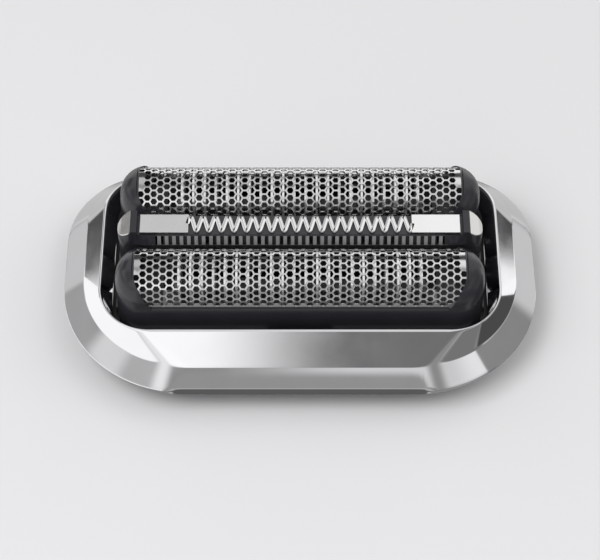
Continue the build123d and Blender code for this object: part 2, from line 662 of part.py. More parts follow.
# Drive bridge and springs
def make_drive_bridge():
    reach = CHASSIS_INNER_HALF_DEPTH - RUNNING
    plate = block(
        -BRIDGE_BEAM_WIDTH / 2, BRIDGE_BEAM_WIDTH / 2, -reach, reach, BRIDGE_BOTTOM, BRIDGE_TOP
    )
    foil_arm = (FOIL_ARM_LENGTH, FOIL_ARM_WIDTH, FOIL_POST_HALF_WIDTH)
    foil_spring = (FOIL_SPRING_OFFSET, FOIL_SPRING_RADIUS)
    trimmer_arm = (TRIMMER_ARM_LENGTH, TRIMMER_ARM_WIDTH, TRIMMER_POST_HALF_WIDTH)
    trimmer_spring = (TRIMMER_SPRING_OFFSET, TRIMMER_SPRING_RADIUS)
    arms = {
        -FOIL_OFFSET: foil_arm + foil_spring,
        0: trimmer_arm + trimmer_spring,
        FOIL_OFFSET: foil_arm + foil_spring,
    }
    for y, (length, width, post, spring_offset, spring_radius) in arms.items():
        plate += block(-length / 2, length / 2, y - width / 2, y + width / 2, BRIDGE_BOTTOM, BRIDGE_TOP)
        plate += block(-POST_LENGTH / 2, POST_LENGTH / 2, y - post, y + post, BRIDGE_TOP, POST_TOP)
        half_peg = (spring_radius - SPRING_WIRE - SPRING_POCKET_GAP) / math.sqrt(2)
        peg_top = BRIDGE_TOP + SPRING_PEG_HEIGHT
        for x in (-spring_offset, spring_offset):
            plate += block(x - half_peg, x + half_peg, y - half_peg, y + half_peg, BRIDGE_TOP, peg_top)
    plate += block(-HUB_HALF_WIDTH, HUB_HALF_WIDTH, -HUB_HALF_WIDTH, HUB_HALF_WIDTH, HUB_BOTTOM, BRIDGE_TOP)
    up = (Align.CENTER, Align.CENTER, Align.MIN)
    return plate - Pos(0, 0, HUB_BOTTOM) * Cylinder(SOCKET_RADIUS, SOCKET_DEPTH, align=up)


def make_spring(radius, pocket):
    """A square-wire coil from the bridge to the top of its pocket, in short straight runs."""
    low = BRIDGE_TOP + SPRING_WIRE / 2 + SLIDE
    high = ELEMENT_BOTTOM + pocket - SPRING_WIRE / 2 - SLIDE
    middle = radius - SPRING_WIRE / 2
    steps = round(SPRING_TURNS * SPRING_CORNERS)
    points = []
    for i in range(steps + 1):
        turn = 2 * math.pi * i / SPRING_CORNERS
        points.append((middle * math.cos(turn), middle * math.sin(turn), low + (high - low) * i / steps))
    path = Polyline(*points)
    wire_section = Plane(origin=path @ 0, z_dir=path % 0) * Rectangle(SPRING_WIRE, SPRING_WIRE)
    return sweep(wire_section, path=path, transition=Transition.RIGHT)


def spring_pair(radius, pocket, offset, y):
    spring = make_spring(radius, pocket)
    return Compound(children=[Pos(-offset, y, 0) * spring, Pos(offset, y, 0) * spring])


def main():
    os.makedirs("parts", exist_ok=True)
    nodes = {
        "bezel": make_bezel(),
        "chassis": make_chassis(),
        "base_frame": make_base_frame(),
        "trimmer_frame": make_trimmer_frame(),
        "trimmer_guard": make_trimmer_guard(),
        "trimmer_inner_cutter": make_trimmer_inner_cutter(),
        "trimmer_slider": make_trimmer_slider(),
        "trimmer_lifting_blade": make_lifting_blade(),
        "trimmer_springs": spring_pair(
            TRIMMER_SPRING_RADIUS, TRIMMER_SPRING_POCKET, TRIMMER_SPRING_OFFSET, 0
        ),
        "drive_bridge": make_drive_bridge(),
    }
    foil_frame, foil = make_foil_frame(), make_foil()
    cutter_block = make_cutter_block()
    for side, y in (("front", -FOIL_OFFSET), ("rear", FOIL_OFFSET)):
        place = Pos(0, y, 0)
        nodes[side + "_foil_frame"] = place * foil_frame
        nodes[side + "_foil"] = place * foil
        nodes[side + "_cutter_block"] = place * cutter_block
        nodes[side + "_cutter_blades"] = make_cutter_blades(y)
        nodes[side + "_cutter_springs"] = spring_pair(
            FOIL_SPRING_RADIUS, FOIL_SPRING_POCKET, FOIL_SPRING_OFFSET, y
        )
    for name, shape in nodes.items():
        export_step(shape, os.path.join("parts", name + ".step"))


main()
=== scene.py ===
"""Looks of a shaver foil head: plated bezel, perforated foils, middle trimmer and the works below."""
import json
import math
from contextlib import contextmanager

import bmesh
import bpy
from bpy.props import FloatProperty, FloatVectorProperty, IntProperty, PointerProperty
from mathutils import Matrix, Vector

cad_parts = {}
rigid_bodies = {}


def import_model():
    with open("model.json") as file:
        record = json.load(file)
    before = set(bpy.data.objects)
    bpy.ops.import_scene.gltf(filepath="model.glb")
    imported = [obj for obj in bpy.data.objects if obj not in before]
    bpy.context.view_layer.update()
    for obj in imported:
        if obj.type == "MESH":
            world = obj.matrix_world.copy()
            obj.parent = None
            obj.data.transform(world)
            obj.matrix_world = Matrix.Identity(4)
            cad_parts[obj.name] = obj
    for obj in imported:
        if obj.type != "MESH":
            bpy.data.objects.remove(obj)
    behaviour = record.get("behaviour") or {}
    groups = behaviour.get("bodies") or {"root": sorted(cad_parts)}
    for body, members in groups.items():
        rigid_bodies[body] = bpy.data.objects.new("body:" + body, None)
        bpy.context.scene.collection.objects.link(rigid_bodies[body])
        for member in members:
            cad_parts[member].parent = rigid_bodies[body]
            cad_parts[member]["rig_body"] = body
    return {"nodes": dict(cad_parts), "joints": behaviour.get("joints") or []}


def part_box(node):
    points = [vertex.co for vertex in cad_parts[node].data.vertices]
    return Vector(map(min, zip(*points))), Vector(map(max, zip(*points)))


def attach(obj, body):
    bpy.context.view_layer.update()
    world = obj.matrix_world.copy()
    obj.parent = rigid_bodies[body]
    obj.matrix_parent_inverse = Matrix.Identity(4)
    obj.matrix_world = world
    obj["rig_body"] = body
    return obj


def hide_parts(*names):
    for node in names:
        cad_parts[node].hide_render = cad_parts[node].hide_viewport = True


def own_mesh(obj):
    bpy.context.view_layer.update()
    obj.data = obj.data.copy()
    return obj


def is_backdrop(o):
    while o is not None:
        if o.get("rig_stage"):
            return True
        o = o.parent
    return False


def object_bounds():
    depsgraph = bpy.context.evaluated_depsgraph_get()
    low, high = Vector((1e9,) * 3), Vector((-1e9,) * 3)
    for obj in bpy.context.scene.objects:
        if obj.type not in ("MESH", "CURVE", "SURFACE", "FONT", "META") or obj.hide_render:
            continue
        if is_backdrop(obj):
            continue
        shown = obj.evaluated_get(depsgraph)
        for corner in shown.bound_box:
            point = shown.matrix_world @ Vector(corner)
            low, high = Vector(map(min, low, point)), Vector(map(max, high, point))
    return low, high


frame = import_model()
cad_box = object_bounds()

bl_info = {
    "name": "Shaver Foil Head",
    "version": (1, 0, 0),
    "blender": (4, 5, 0),
    "location": "View3D > Sidebar > Foil Head",
    "description": "Dresses the solids of a shaver foil head with plating, foils and moulded finishes",
    "category": "Add Mesh",
}

MM = 0.001
SIDES = ("front", "rear")
ENDS = (-1, 1)
# Points nearer than this are one point, in a mesh and in a node tree
WELD = 1e-7
NODE_WELD = 0.004 * MM
# Neighbouring triangles within this angle make one flat face
FLAT = math.radians(0.5)
# Room between pieces that lie against each other, and between those that stay apart
SLIP = 0.02 * MM
CLEARANCE = 0.1 * MM


def length(name, millimetres, description):
    """A size that a user may change, given here in millimetres."""
    return FloatProperty(
        name=name, description=description, default=millimetres * MM, unit="LENGTH", precision=5
    )


def share(name, value, description):
    """A number from nought to one."""
    return FloatProperty(name=name, description=description, default=value, min=0, max=1, subtype="FACTOR")


def count(name, value, description):
    """A whole number from one up."""
    return IntProperty(name=name, description=description, default=value, min=1, subtype="UNSIGNED")


def colour(name, value, description):
    """A colour in scene-linear red, green and blue."""
    return FloatVectorProperty(
        name=name, description=description, default=value, size=3, min=0, max=1, subtype="COLOR"
    )


# Sizes and colours that a user would change

class BezelSettings(bpy.types.PropertyGroup):
    """Sizes of the plated bezel"""
    foot_inset: length("Foot inset", 0.5, "How far the foot stands in from the girth")
    foot_height: length("Foot height", 1.2, "Height of the band below the girth")
    flare_run_end: length("Flare run at the ends", 3.05, "Width of the flared band at the ends")
    flare_run_side: length("Flare run at the sides", 2.2, "Width of the flared band at the sides")
    flare_height: length("Flare height", 3.2, "Height of the flared band")
    chamfer_run_end: length("Chamfer run at the ends", 2.65, "Width of the broad chamfer at the ends")
    chamfer_run_side: length("Chamfer run at the sides", 3.5, "Width of the broad chamfer at the sides")
    ridge_land: length("Ridge land", 0.3, "Width of the ridge before it is rounded")
    funnel_run_end: length("Funnel run at the ends", 1.7, "How far the opening narrows at the ends")
    funnel_run_side: length("Funnel run at the sides", 0.7, "How far the opening narrows at the sides")
    funnel_depth: length("Funnel depth", 2.5, "Depth of the sloping mouth of the opening")
    lip_sheet: length("Lip thickness", 1.0, "Thickness of the lip at the opening")
    wall: length("Wall", 1.9, "Wall of the skirt at its foot")
    girth_front: length("Girth front corner", 17.5, "Radius of the front corners at the girth")
    girth_rear: length("Girth rear corner", 12.0, "Radius of the rear corners at the girth")
    crease_front: length("Crease front corner", 15.0, "Radius of the front corners at the crease")
    crease_rear: length("Crease rear corner", 9.5, "Radius of the rear corners at the crease")
    ridge_front: length("Ridge front corner", 7.0, "Radius of the front corners at the ridge")
    ridge_rear: length("Ridge rear corner", 5.6, "Radius of the rear corners at the ridge")
    opening_corner: length("Opening corner", 5.0, "Radius of the corners of the opening")
    relief_length: length("Relief length", 35.0, "Length of the flat along the lower edge")
    relief_depth: length("Relief depth", 0.42, "Depth of the flat along the lower edge")
    relief_blend: length("Relief blend", 1.6, "Length of the run-out at each end of the flat")
    girth_round: length("Girth rounding", 0.14, "How far the rounding of the girth reaches")
    crease_round: length("Crease rounding", 0.28, "How far the rounding of the crease reaches")
    ridge_round: length("Ridge rounding", 0.35, "How far the rounding of the ridge reaches")
    mouth_round: length("Mouth rounding", 1.1, "How far the rounding at the mouth of the opening reaches")
    corner_strips: count("Corner strips", 44, "Faces round each corner")
    round_steps: count("Rounding steps", 7, "Faces across each rounded edge")


class FoilSettings(bpy.types.PropertyGroup):
    """Sizes of the foils and their carriers"""
    sheet: length("Foil sheet", 0.1, "Thickness of the foil")
    pitch: length("Pitch", 1.023, "Distance between the middles of neighbouring holes")
    hole: length("Hole", 0.81, "Width of a hole across its flats")
    columns: count("Columns", 48, "Columns of holes")
    rows: count("Rows", 13, "Holes in one column")
    plain_spot: length("Plain spot", 1.5, "Reach of the plain spots at the ends, either side of the crown")
    window_length: length("Window length", 44.0, "Foil that shows at the crown")
    window_foot: length("Window foot", 39.6, "Foil that shows along its lower edge")
    window_drop: length("Window drop", 0.9, "Lower edge of the window below the arch centre")
    window_shoulder: length("Window shoulder", 3.4, "Height above the arch centre where the window narrows")
    carrier_end_round: length("Carrier end rounding", 3.8, "Radius of the carrier's rounded ends")
    carrier_wall: length("Carrier wall", 1.2, "Side wall of the carrier")
    lug_round: length("Lug rounding", 0.3, "Rounding of the lugs under the carrier's ends")
    carrier_rise: share("Carrier rise", 0.982, "Height of the carrier's arch as a share of its half width")
    arch_strips: count("Arch strips", 44, "Faces round the carrier's arch")
    end_steps: count("End steps", 12, "Faces along each rounded end")


class TrimmerSettings(bpy.types.PropertyGroup):
    """Sizes of the middle trimmer"""
    comb_pitch: length("Comb pitch", 1.0, "Distance between slots of the guard")
    comb_slot: length("Comb slot", 0.52, "Width of a slot of the guard")
    comb_slots: count("Comb slots", 40, "Slots along each shoulder of the guard")
    guard_sheet: length("Guard sheet", 0.25, "Thickness of the guard")
    guard_top_half_width: length("Guard top half width", 1.55, "Half width of the guard's flat top")
    guard_shoulder_drop: length("Guard shoulder drop", 1.7, "Height of the guard's sloping shoulder")
    waves: count("Waves", 18, "Waves of the lifting blade")
    wave_pitch: length("Wave pitch", 1.69, "Length of one wave")
    ribbon_width: length("Ribbon width", 0.58, "Width of the wavy ribbon")
    ribbon_round: length("Ribbon rounding", 0.045, "Rounding of the ribbon's edges")
    wave_sharpness: share("Wave sharpness", 0.86, "Nearer to one makes the bends tighter")
    cap_length: length("Cap length", 2.7, "Length of each end cap of the carrier")
    cap_round: length("Cap rounding", 1.9, "Radius of the carrier's rounded ends")
    cap_slope: share("Cap slope", 0.75, "How fast a cap's top falls towards its end")
    cap_top_half_width: length("Cap top half width", 1.85, "Half width of the end caps at their top")
    cap_arm_length: length("Cap arm length", 2.5, "How far each end cap reaches along the guard")
    cap_arm_sheet: length("Cap arm thickness", 0.25, "Thickness of those arms")
    cap_arm_drop: length("Cap arm drop", 1.3, "How far the arms reach down the guard's shoulder")
    cap_steps: count("Cap steps", 14, "Faces along each rounded end")
    edge_round: length("Edge rounding", 0.22, "Rounding of the carrier's edges")


class SpringSettings(bpy.types.PropertyGroup):
    """Sizes of the coil springs"""
    wire: length("Wire", 0.28, "Thickness of the wire")
    turns: FloatProperty(name="Turns", description="Turns of each coil", default=2.5, subtype="UNSIGNED")
    foil_radius: length("Foil spring radius", 1.5, "Outer radius of the springs below a foil")
    foil_offset: length("Foil spring offset", 11.0, "From the middle to the springs below a foil")
    trimmer_radius: length("Trimmer spring radius", 0.85, "Outer radius of the springs below the trimmer")
    trimmer_offset: length("Trimmer spring offset", 7.0, "From the middle to the springs below the trimmer")


class FinishSettings(bpy.types.PropertyGroup):
    """Colours of the finishes"""
    plate: colour("Plate", (0.80, 0.80, 0.815), "Bright plating of the bezel")
    gloss_plastic: colour("Gloss plastic", (0.020, 0.020, 0.024), "Carriers of the foils and trimmer")
    black_plastic: colour("Black plastic", (0.009, 0.009, 0.010), "Chassis and base frame")
    drive_plastic: colour("Drive plastic", (0.085, 0.087, 0.09), "Drive bridge and cutter blocks")
    foil_steel: colour("Foil steel", (0.74, 0.74, 0.75), "Perforated foils")
    # Painted highlight on the sloping tops of the trimmer's end caps, where they catch the light
    silvering: colour("Silvering", (0.80, 0.79, 0.77), "Sloping tops of the trimmer's end caps")
    guard_steel: colour("Guard steel", (0.085, 0.085, 0.092), "Guard of the trimmer")
    # Painted highlight: the teeth of the guard's comb get this lighter colour where they catch the light
    ground_steel: colour("Ground steel", (0.52, 0.52, 0.53), "Teeth of the guard's comb, ground bright")
    # Painted shade: the inner cutter is dark for the shade in the comb's slots, where it shows
    toothed_steel: colour("Toothed steel", (0.05, 0.05, 0.053), "Inner cutter of the trimmer")
    polished_steel: colour("Polished steel", (0.88, 0.88, 0.88), "Lifting blade")
    blade_steel: colour("Blade steel", (0.86, 0.86, 0.86), "Cutter blades")
    spring_steel: colour("Spring steel", (0.55, 0.54, 0.52), "Coil springs")


class StageSettings(bpy.types.PropertyGroup):
    """Floor, light and camera"""
    floor: colour("Floor", (0.58, 0.58, 0.59), "Colour of the floor")
    backdrop: colour("Backdrop", (0.68, 0.68, 0.69), "Colour behind the floor")
    elevation: FloatProperty(
        name="Elevation",
        description="Height of the camera's view",
        default=math.radians(53),
        unit="ROTATION",
    )
    distance: length("Distance", 270.0, "From the camera to the lifting blade")
    aim_drop: length("Aim drop", 7.65, "How far below the lifting blade the camera points, across its view")
    lens: FloatProperty(name="Lens", description="Focal length", default=120.0, unit="CAMERA")


# Mesh helpers

def link(name, data):
    """An object of that name in the scene."""
    piece = bpy.data.objects.new(name, data)
    bpy.context.scene.collection.objects.link(piece)
    return piece


@contextmanager
def editing(mesh):
    """Opens a mesh for editing and writes it back at the end."""
    work = bmesh.new()
    work.from_mesh(mesh)
    yield work
    work.to_mesh(mesh)
    work.free()


def piece_from(name, points=(), faces=()):
    """A piece with its doubles merged and its faces pointing outwards; with no points it is empty."""
    mesh = bpy.data.meshes.new(name)
    mesh.from_pydata([tuple(p) for p in points], [], faces)
    with editing(mesh) as work:
        bmesh.ops.remove_doubles(work, verts=work.verts, dist=WELD)
        bmesh.ops.recalc_face_normals(work, faces=work.faces)
    return link(name, mesh)


def baked(piece):
    """The piece's modifiers turned into its plain mesh."""
    bpy.context.view_layer.update()
    evaluated = piece.evaluated_get(bpy.context.evaluated_depsgraph_get())
    mesh = bpy.data.meshes.new_from_object(evaluated)
    mesh.name = piece.name
    piece.modifiers.clear()
    piece.data = mesh
    return piece


def modified(piece, kind, **settings):
    """A piece with one modifier baked in."""
    modifier = piece.modifiers.new(kind.lower(), kind)
    for key, value in settings.items():
        setattr(modifier, key, value)
    return baked(piece)


def smooth(piece, angle=35):
    """Smooth shading that keeps edges sharper than that angle, with broad faces kept flat."""
    piece.data.shade_smooth()
    piece.data.set_sharp_from_angle(angle=math.radians(angle))
    return modified(piece, "WEIGHTED_NORMAL", keep_sharp=True)


def eased(piece, width, segments=2, sharper_than=28):
    """Rounds a piece's edges that are sharper than an angle in degrees."""
    limit = math.radians(sharper_than)
    return modified(piece, "BEVEL", width=width, segments=segments, limit_method="ANGLE", angle_limit=limit)


def discard(*helpers):
    """Removes pieces that were only needed to make others."""
    for helper in helpers:
        bpy.data.objects.remove(helper)


def painted(piece, material):
    """A piece with that material only."""
    piece.data.materials.clear()
    piece.data.materials.append(material)
    return piece


def finished(piece, node, slot, material=None):
    """Puts a piece in the place of a solid and gives it its own finish, or else that of its slot."""
    painted(piece, material or finish_for(slot))
    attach(piece, frame["nodes"][node]["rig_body"])
    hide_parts(node)


def box_tool(name, low, high):
    """A closed box between two corners, to cut or join with."""
    corners = [(x, y, z) for x in (low[0], high[0]) for y in (low[1], high[1]) for z in (low[2], high[2])]
    faces = [(0, 1, 3, 2), (4, 6, 7, 5), (0, 4, 5, 1), (2, 3, 7, 6), (0, 2, 6, 4), (1, 5, 7, 3)]
    return piece_from(name, corners, faces)


def bar(name, rings, closed=False):
    """A bar through rings of points, with a flat face at each end, or closed to a ring itself."""
    points = [p for ring in rings for p in ring]
    around = len(rings[0])
    faces = [] if closed else [tuple(range(around)), tuple(range(len(points) - around, len(points)))]
    for i in range(len(rings) if closed else len(rings) - 1):
        near, far = i * around, (i + 1) % len(rings) * around
        for j in range(around):
            k = (j + 1) % around
            faces.append((near + j, near + k, far + k, far + j))
    return piece_from(name, points, faces)


def mirrored(right):
    """A section from its right half, with the left half first."""
    return [(-y, z) for y, z in reversed(right)] + right


def rings_at(xs, section):
    """A section of Y and Z placed at each of some values of X."""
    return [[(x, y, z) for y, z in section] for x in xs]


def rounded_bar(name, half_length, radius, steps, section):
    """A bar along X with its ends rounded off. Its section is a function of the shrinking and the turn."""
    near = []
    for i in range(steps + 1):
        turn = math.pi / 2 * (1 - i / steps)
        x = half_length - radius * (1 - math.sin(turn))
        near += rings_at([x], section(radius * (1 - math.cos(turn)), turn))
    far = [[(-x, y, z) for x, y, z in ring] for ring in reversed(near)]
    return bar(name, near + far)


def cut(piece, operation, *tools):
    """Joins or cuts a piece with closed tools, which are then removed."""
    for tool in tools:
        boolean = piece.modifiers.new(tool.name, "BOOLEAN")
        boolean.operation = operation
        boolean.solver = "EXACT"
        boolean.object = tool
    baked(piece)
    discard(*tools)
    return piece


def softened(node, name, width):
    """A copy of a solid with its flat triangles paired and its edges rounded."""
    mesh = frame["nodes"][node].data.copy()
    with editing(mesh) as work:
        bmesh.ops.remove_doubles(work, verts=work.verts, dist=WELD)
    with editing(mesh) as work:
        bmesh.ops.join_triangles(
            work, faces=work.faces, angle_face_threshold=FLAT, angle_shape_threshold=math.pi
        )
    return smooth(eased(link(name, mesh), width))


# Node helpers

class Wire:
    """One output of a node. Plain arithmetic on it adds Math nodes to its tree."""

    def __init__(self, node, output=0):
        self.node = node
        self.socket = node.outputs[output]
        self.tree = node.id_data

    def math(self, operation, other=0.0):
        """A Math node's result for this wire and another operand."""
        return math_node(self.tree, operation, self, other)

    def within(self, limit):
        """The value kept between a limit and its opposite."""
        return self.math("MINIMUM", limit).math("MAXIMUM", -limit)

    def __add__(self, other):
        return self.math("ADD", other)

    def __sub__(self, other):
        return self.math("SUBTRACT", other)

    def __rsub__(self, other):
        return math_node(self.tree, "SUBTRACT", other, self)

    def __mul__(self, other):
        return self.math("MULTIPLY", other)

    def __truediv__(self, other):
        return self.math("DIVIDE", other)

    def __neg__(self):
        return self * -1


def feed(socket, operand):
    """Sets a socket to a value, or leads a wire to it."""
    if isinstance(operand, Wire):
        socket.id_data.links.new(operand.socket, socket)
    else:
        socket.default_value = operand


def feed_all(node, **operands):
    """Feeds a node's inputs by their names, with _ for a space."""
    for label, operand in operands.items():
        feed(node.inputs[label.replace("_", " ")], operand)


def math_node(tree, operation, first, second):
    """A Math node's result; each operand is a number or a wire."""
    node = tree.nodes.new("ShaderNodeMath")
    node.operation = operation
    feed(node.inputs[0], first)
    feed(node.inputs[1], second)
    return Wire(node)


def add(tree, kind, settings=None, output=0, **operands):
    """One output of a new node with those settings and inputs."""
    node = tree.nodes.new(kind)
    for key, value in (settings or {}).items():
        setattr(node, key, value)
    feed_all(node, **operands)
    return Wire(node, output)


def split(vector):
    """X, Y and Z of a vector."""
    parts = add(vector.tree, "ShaderNodeSeparateXYZ", Vector=vector)
    return [Wire(parts.node, axis) for axis in "XYZ"]


# Finishes

# Detail of the noise, the values between which nearly all of it lies, and the depth of its bump
NOISE_DETAIL = 3.0
NOISE_SPAN = (0.3, 0.7)
BUMP_DEPTH = 0.02 * MM


def shader_group(name, inputs, outputs):
    """An empty shader group, its inputs as wires, and its output sockets. A vector has no default."""
    group = bpy.data.node_groups.new(name, "ShaderNodeTree")
    for label, default in inputs.items():
        kind = "NodeSocketVector" if default is None else "NodeSocketFloat"
        made = group.interface.new_socket(label, in_out="INPUT", socket_type=kind)
        if default is not None:
            made.default_value = default
    for label in outputs:
        group.interface.new_socket(label, in_out="OUTPUT", socket_type="NodeSocketFloat")
    source = group.nodes.new("NodeGroupInput")
    return group, [Wire(source, label) for label in inputs], group.nodes.new("NodeGroupOutput").inputs


def place_group(tree, maker, output, **operands):
    """A node of the shader group that a function makes; the group itself is made once, with its name."""
    group = bpy.data.node_groups.get(maker.__name__) or maker()
    return add(tree, "ShaderNodeGroup", {"node_tree": group}, output, **operands)


def noise(vector, scale):
    """Noise over a vector; the scale is a number or a wire."""
    return add(vector.tree, "ShaderNodeTexNoise", Vector=vector, Scale=scale, Detail=NOISE_DETAIL)


def moulded_grain():
    """Fine grain of a moulded surface: a height for bump and a slow change of gloss."""
    inputs = {"Vector": None, "Grain Scale": 9000.0, "Patch Scale": 260.0}
    group, (place, grain, patch), made = shader_group("moulded_grain", inputs, ("Height", "Patch"))
    feed(made["Height"], noise(place, grain))
    feed(made["Patch"], noise(place, patch))
    return group


def drawn_metal():
    """Fine lines along X, as rolling or brushing leaves them: a height for bump and a change of gloss."""
    inputs = {"Vector": None, "Line Scale": 5200.0, "Stretch": 0.03, "Patch Scale": 340.0}
    group, (place, lines, stretch, patch), made = shader_group("drawn_metal", inputs, ("Height", "Patch"))
    x, y, z = split(place)
    drawn = add(group, "ShaderNodeCombineXYZ", X=x * stretch, Y=y, Z=z)
    feed(made["Height"], noise(drawn, lines))
    feed(made["Patch"], noise(place, patch))
    return group


def soft_band():
    """A mask that is one where a value lies between two limits, with soft edges."""
    inputs = {"Value": 0.0, "Low": 0.0, "High": 1.0, "Softness": 0.1}
    group, (value, low, high, softness), made = shader_group("soft_band", inputs, ["Mask"])
    half = softness * 0.5
    smoothed = {"interpolation_type": "SMOOTHSTEP"}
    above, below = [
        add(group, "ShaderNodeMapRange", smoothed, Value=past, From_Min=-half, From_Max=half)
        for past in (value - low, high - value)
    ]
    feed(made["Mask"], above * below)
    return group


def in_band(value, low, high, softness):
    """The soft band's mask for a wire; the limits are numbers or wires."""
    return place_group(value.tree, soft_band, "Mask", Value=value, Low=low, High=high, Softness=softness)


# The finish of each slot: its colour setting, texture, metallic value, roughness, spread of roughness,
# strength of bump, change of shade and specular level
FINISHES = {
    "bright_plate": ("plate", moulded_grain, 1.0, 0.075, 0.02, 0.015, 0.03, 0.5),
    "dark_gloss_plastic": ("gloss_plastic", moulded_grain, 0.0, 0.22, 0.05, 0.10, 0.12, 0.42),
    "black_plastic": ("black_plastic", moulded_grain, 0.0, 0.46, 0.06, 0.35, 0.12, 0.5),
    "drive_plastic": ("drive_plastic", moulded_grain, 0.0, 0.42, 0.06, 0.25, 0.12, 0.5),
    "foil_steel": ("foil_steel", drawn_metal, 1.0, 0.15, 0.04, 0.05, 0.06, 0.5),
    "dark_steel": ("guard_steel", drawn_metal, 0.85, 0.33, 0.06, 0.10, 0.12, 0.5),
    "polished_steel": ("polished_steel", drawn_metal, 1.0, 0.13, 0.03, 0.04, 0.04, 0.5),
    "blade_steel": ("blade_steel", drawn_metal, 0.6, 0.28, 0.06, 0.08, 0.04, 0.5),
    "toothed_steel": ("toothed_steel", drawn_metal, 0.6, 0.36, 0.06, 0.08, 0.12, 0.5),
    "spring_steel": ("spring_steel", drawn_metal, 1.0, 0.28, 0.06, 0.06, 0.08, 0.5),
}
FINISHES_MADE = {}


def finish_for(slot):
    """The finish of a slot, made once."""
    if slot not in FINISHES_MADE:
        FINISHES_MADE[slot] = finish(slot, *FINISHES[slot])
    return FINISHES_MADE[slot]


def finish(name, setting, texture, metallic, roughness, spread, bump, shade, specular):
    """A material whose colour, gloss and bump vary with a texture group over Object coordinates."""
    base = getattr(bpy.context.scene.foil_head_finish, setting)
    material = bpy.data.materials.new(name)
    material.use_nodes = True
    tree = material.node_tree
    place = add(tree, "ShaderNodeTexCoord", output="Object")
    patch = place_group(tree, texture, "Patch", Vector=place)
    gloss = add(
        tree,
        "ShaderNodeMapRange",
        Value=patch,
        From_Min=NOISE_SPAN[0],
        From_Max=NOISE_SPAN[1],
        To_Min=roughness - spread,
        To_Max=roughness + spread,
    )
    dark = (*[c * (1 - shade) for c in base], 1)
    light = (*[min(1, c * (1 + shade)) for c in base], 1)
    tint = add(tree, "ShaderNodeMix", {"data_type": "RGBA"}, "Result", Factor=patch, A=dark, B=light)
    height = Wire(patch.node, "Height")
    relief = add(tree, "ShaderNodeBump", Strength=bump, Distance=BUMP_DEPTH, Height=height)
    feed_all(
        tree.nodes["Principled BSDF"],
        Base_Color=tint,
        Metallic=metallic,
        Roughness=gloss,
        Specular_IOR_Level=specular,
        Normal=relief,
    )
    return material


def accented(slot, name, mask_in, colour_there, metallic_there=None):
    """A copy of a finish with a painted highlight: another colour, and metallic value if asked, where a
    mask is one.
    The mask comes from a function of X, Y and Z of Object coordinates."""
    material = finish_for(slot).copy()
    material.name = name
    tree = material.node_tree
    shader = tree.nodes["Principled BSDF"]
    mask = mask_in(*split(add(tree, "ShaderNodeTexCoord", output="Object")))
    plain = Wire(shader.inputs["Base Color"].links[0].from_node, "Result")
    there = (*colour_there, 1)
    mixed = add(tree, "ShaderNodeMix", {"data_type": "RGBA"}, "Result", Factor=mask, A=plain, B=there)
    feed_all(shader, Base_Color=mixed)
    if metallic_there is not None:
        feed_all(shader, Metallic=mask * metallic_there)
    return material


# Bezel

# Front and rear corners of the hollow at its top, and how far the small roundings reach
CAVITY_CORNERS = (11.1 * MM, 8.1 * MM)
FOOT_ROUND = 0.12 * MM
LIP_ROUND = 0.2 * MM
INSIDE_ROUND = 0.1 * MM


def outline(level, strips):
    """Points of one level of the bezel: half length, half depth, front corner, rear corner and height."""
    half_length, half_depth, front, rear, height = level
    corners = [
        (half_length - rear, half_depth - rear, rear),
        (rear - half_length, half_depth - rear, rear),
        (front - half_length, front - half_depth, front),
        (half_length - front, front - half_depth, front),
    ]
    points = []
    for quarter, (x, y, radius) in enumerate(corners):
        for i in range(strips + 1):
            turn = math.pi / 2 * (quarter + i / strips)
            points.append(Vector((x + radius * math.cos(turn), y + radius * math.sin(turn), height)))
    return points


def inset(level, run, drop=0.0):
    """A level moved in by a run all round, corners too, and down."""
    return level - Vector((run, run, run, run, drop))


def stepped(level, run_end, run_side, front, rear, height):
    """A level further in than another, with its own corners and height."""
    return Vector((level[0] - run_end, level[1] - run_side, front, rear, height))


def bezel_levels(sizes):
    """Levels from the foot up, over the ridge and down inside, each with the reach of its rounding."""
    low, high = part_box("bezel")
    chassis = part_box("chassis")[1]
    girth = Vector((high.x, high.y, sizes.girth_front, sizes.girth_rear, low.z + sizes.foot_height))
    foot = inset(girth, sizes.foot_inset, sizes.foot_height)
    crease_z = girth[4] + sizes.flare_height
    crease = stepped(
        girth, sizes.flare_run_end, sizes.flare_run_side, sizes.crease_front, sizes.crease_rear, crease_z
    )
    relief_top = girth.lerp(crease, sizes.relief_depth / sizes.flare_run_side)
    ridge = stepped(
        crease, sizes.chamfer_run_end, sizes.chamfer_run_side, sizes.ridge_front, sizes.ridge_rear, high.z
    )
    corner, lip_z = sizes.opening_corner, high.z - sizes.funnel_depth
    lip = stepped(ridge, sizes.funnel_run_end, sizes.funnel_run_side, corner, corner, lip_z)
    cavity_top = Vector((chassis.x + CLEARANCE, chassis.y + CLEARANCE, *CAVITY_CORNERS, chassis.z))
    return [
        (foot, FOOT_ROUND),
        (girth, sizes.girth_round),
        (relief_top, 0),
        (crease, sizes.crease_round),
        (ridge, sizes.ridge_round),
        (inset(ridge, sizes.ridge_land), sizes.mouth_round),
        (lip, LIP_ROUND),
        (inset(lip, 0, sizes.lip_sheet), INSIDE_ROUND),
        (cavity_top, 0),
        (inset(foot, sizes.wall), INSIDE_ROUND),
    ]


def rounded_levels(levels, steps):
    """More levels that round the profile at each of the given ones."""
    rounded = []
    for i, (level, reach) in enumerate(levels):
        if not reach:
            rounded.append(level)
            continue
        sides = []
        for other in (levels[i - 1][0], levels[(i + 1) % len(levels)][0]):
            run = math.hypot(other[1] - level[1], other[4] - level[4])
            sides.append(level.lerp(other, min(0.5, reach / run)))
        for k in range(steps + 1):
            t = k / steps
            rounded.append(sides[0].lerp(level, t).lerp(level.lerp(sides[1], t), t))
    return rounded


